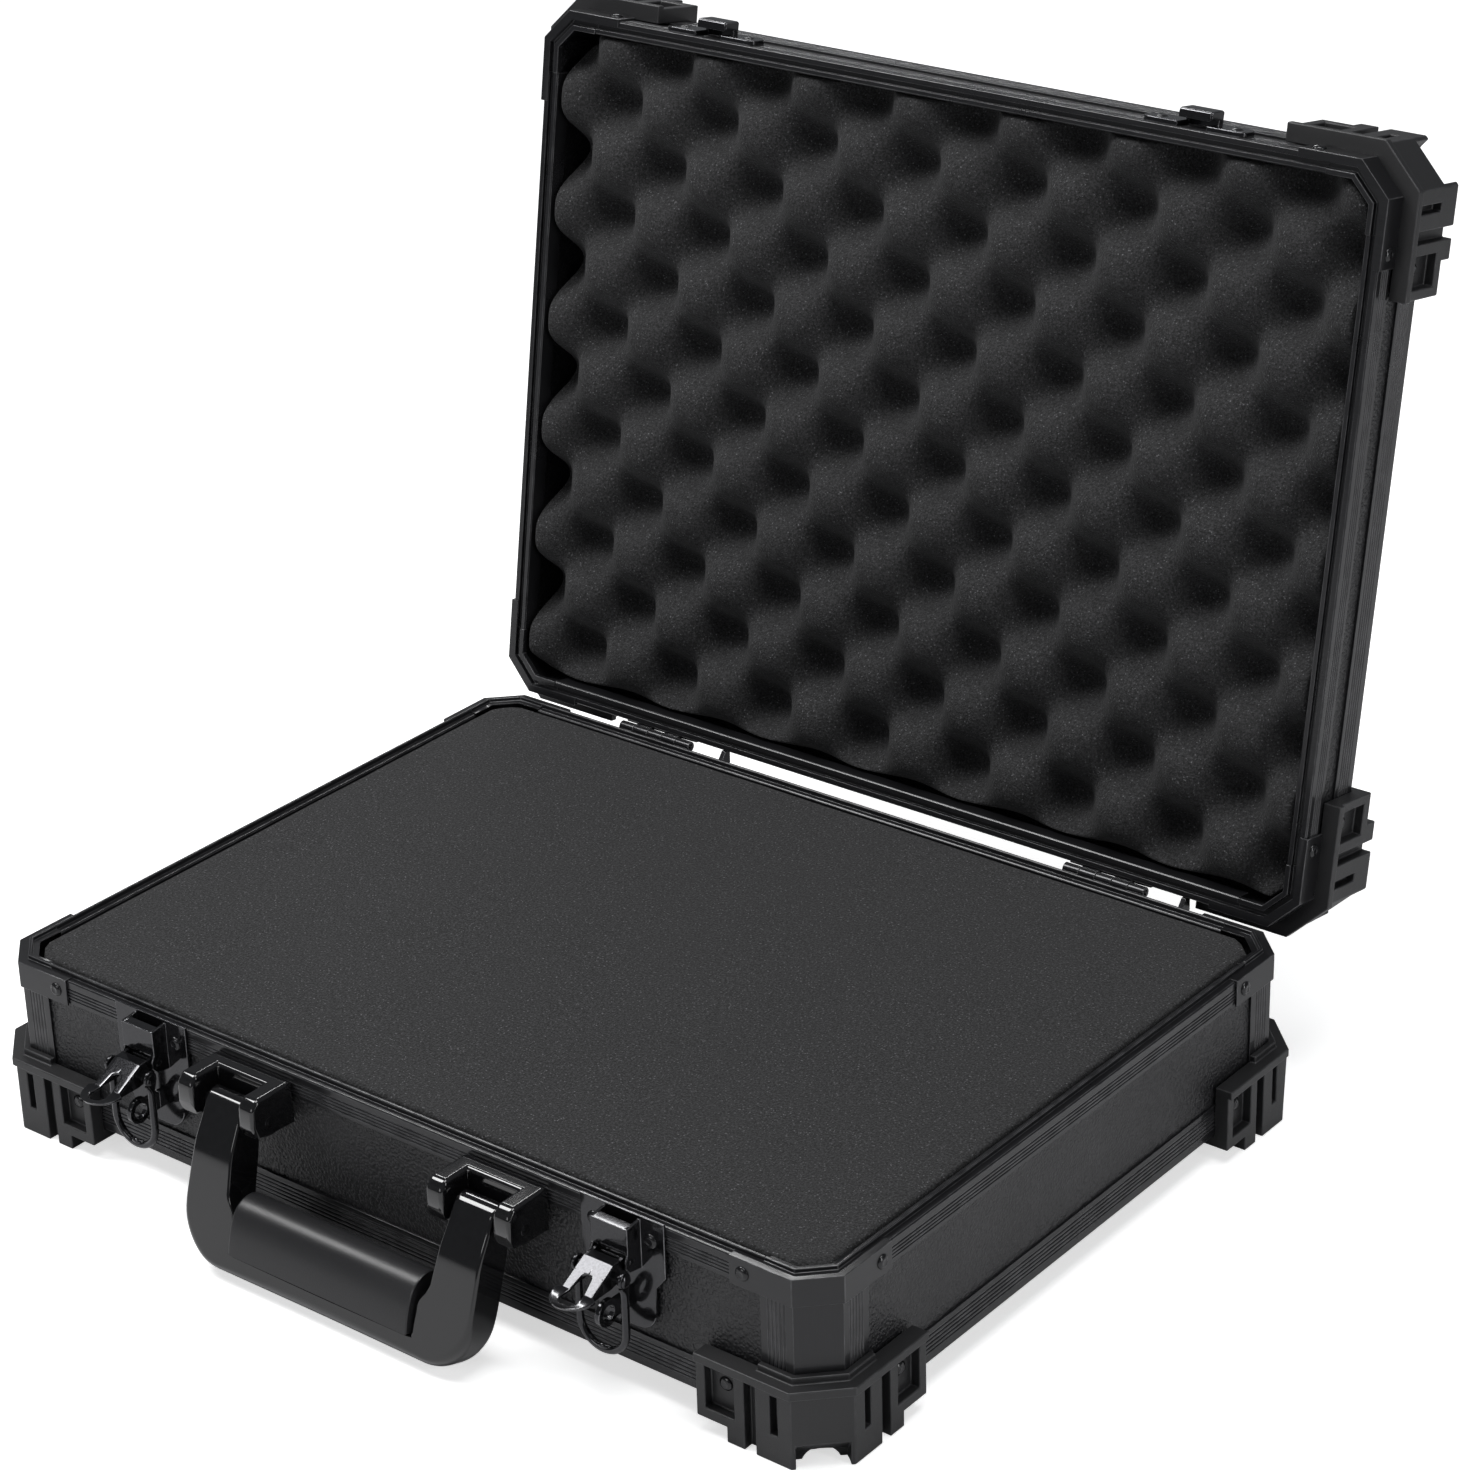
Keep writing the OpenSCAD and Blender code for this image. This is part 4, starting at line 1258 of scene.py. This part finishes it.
# ---------- studio ----------


@dataclass
class Softbox:
    """One area light."""

    name: str
    spot: Triple
    aim: Triple
    size: Pair
    power: float

    def build(self) -> None:
        """Hangs the light and turns it to its aim."""
        data = bpy.data.lights.new(self.name, "AREA")
        data.shape = "RECTANGLE"
        data.size, data.size_y = self.size
        data.energy = self.power
        lamp = bpy.data.objects.new(self.name, data)
        bpy.context.scene.collection.objects.link(lamp)
        lamp.location = self.spot
        lamp.rotation_mode = "QUATERNION"
        aim = Vector(self.aim) - Vector(self.spot)
        lamp.rotation_quaternion = aim.to_track_quat("-Z", "Y")


@dataclass
class Studio:
    """Camera, pale floor, surround and lights."""

    floor_half: float = 8.0
    lens: float = 96.0
    eye: Triple = (0.9976, -1.157, 0.8302)
    turn: Triple = (64.497, 1.568, 38.327)
    lights: list[Softbox] = field(default_factory=lambda: [
        Softbox("overhead_box", (0.35, -0.1, 2.3), (0.05, -0.1, 0.0), (1.3, 1.3), 30.0),
        Softbox("lever_box", (-1.0, -0.55, 1.75), (0.1, -0.2, 0.05), (0.75, 0.75), 22.0),
        Softbox("front_box", (-0.3, -2.4, 1.1), (0, 0.1, 0.2), (1.0, 0.8), 7.5),
        Softbox("right_strip", (2.1, -0.1, 0.7), (0.1, 0, 0.15), (0.25, 1.3), 9.0),
        Softbox("back_strip", (-1.1, 1.35, 1.5), (0, 0, 0.1), (0.9, 0.12), 6.0)])

    def build(self, layout: Layout) -> None:
        """Sets up the camera, floor, surround and lights.

        Args:
            layout: places the camera against the case.
        """
        self.camera(layout)
        self.floor()
        self.surround()
        for light in self.lights:
            light.build()
        bpy.context.scene.view_settings.view_transform = "Standard"

    def camera(self, layout: Layout) -> None:
        """Stands the camera at the case's viewing angle."""
        data = bpy.data.cameras.new("view")
        data.lens = self.lens
        data.sensor_width = 36.0
        data.clip_start, data.clip_end = 0.05, 60.0
        eye = bpy.data.objects.new("view", data)
        bpy.context.scene.collection.objects.link(eye)
        eye.location = layout.base @ (Vector(self.eye) / MM)
        eye.rotation_euler = tuple(math.radians(a) for a in self.turn)
        bpy.context.scene.camera = eye

    def floor(self) -> None:
        """Lays a wide pale floor with a faintly uneven finish."""
        bm = bmesh.new()
        bmesh.ops.create_grid(bm, x_segments=24, y_segments=24, size=self.floor_half)
        mesh = bpy.data.meshes.new("studio_floor")
        bm.to_mesh(mesh)
        bm.free()
        floor = bpy.data.objects.new("studio_floor", mesh)
        bpy.context.scene.collection.objects.link(floor)
        made = bpy.data.materials.new("pale_floor")
        made.use_nodes = True
        bench = NodeBench(made.node_tree)
        at = bench.add("TexCoord").outputs["Object"]
        cloud = bench.add("TexNoise", {"Vector": at, "Scale": 3.0, "Detail": 3.0})
        rough = bench.ramp(cloud.outputs["Fac"], 0.2, 0.8, 0.75, 0.9)
        plain = bench.add("BsdfPrincipled", {"Base Color": (0.70, 0.70, 0.71, 1),
                                             "Roughness": rough})
        seen = bench.add("BsdfPrincipled", {
            "Base Color": (0.9, 0.9, 0.9, 1), "Roughness": rough,
            "Emission Color": (1, 1, 1, 1), "Emission Strength": 0.62})
        path = bench.add("LightPath").outputs["Is Camera Ray"]
        both = bench.add("MixShader", {0: path, 1: plain.outputs[0], 2: seen.outputs[0]})
        bench.add("OutputMaterial", {"Surface": both.outputs[0]})
        mesh.materials.append(made)

    @staticmethod
    def surround() -> None:
        """A white backdrop that lights the case only gently."""
        world = bpy.data.worlds.new("surround")
        bpy.context.scene.world = world
        world.use_nodes = True
        bench = NodeBench(world.node_tree)
        path = bench.add("LightPath").outputs["Is Camera Ray"]
        seen = bench.add("Background", {"Color": (1, 1, 1, 1), "Strength": 1.0})
        cast = bench.add("Background", {"Color": (0.92, 0.95, 1.0, 1), "Strength": 0.13})
        both = bench.add("MixShader", {0: path, 1: cast.outputs[0], 2: seen.outputs[0]})
        bench.add("OutputWorld", {"Surface": both.outputs[0]})


def main() -> None:
    """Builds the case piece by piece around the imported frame."""
    logging.basicConfig(level=logging.INFO, format="%(message)s")
    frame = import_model()
    shop = Workshop(frame)
    layout = shop.layout
    for half in (CaseHalf("base", BASE_RAIL, BASE_POST, "bottom"),
                 CaseHalf("lid", LID_RAIL, LID_POST, "top")):
        half.build(shop)
    FoamLining("base").build(shop, layout.base, "base_foam")
    FoamLining("lid", top=-1.6, bottom=-32.8, pitch=2.6, crate_depth=24.5).build(
        shop, layout.lid @ Matrix.Diagonal((1, 1, -1, 1)), "lid_foam")
    Hinges().build(shop)
    CarryHandle().build(shop)
    for side in Side:
        ToggleLatch(side).build(shop)
    LatchPins().build(shop)
    Studio().build(layout)


if __name__ == "__main__":
    main()
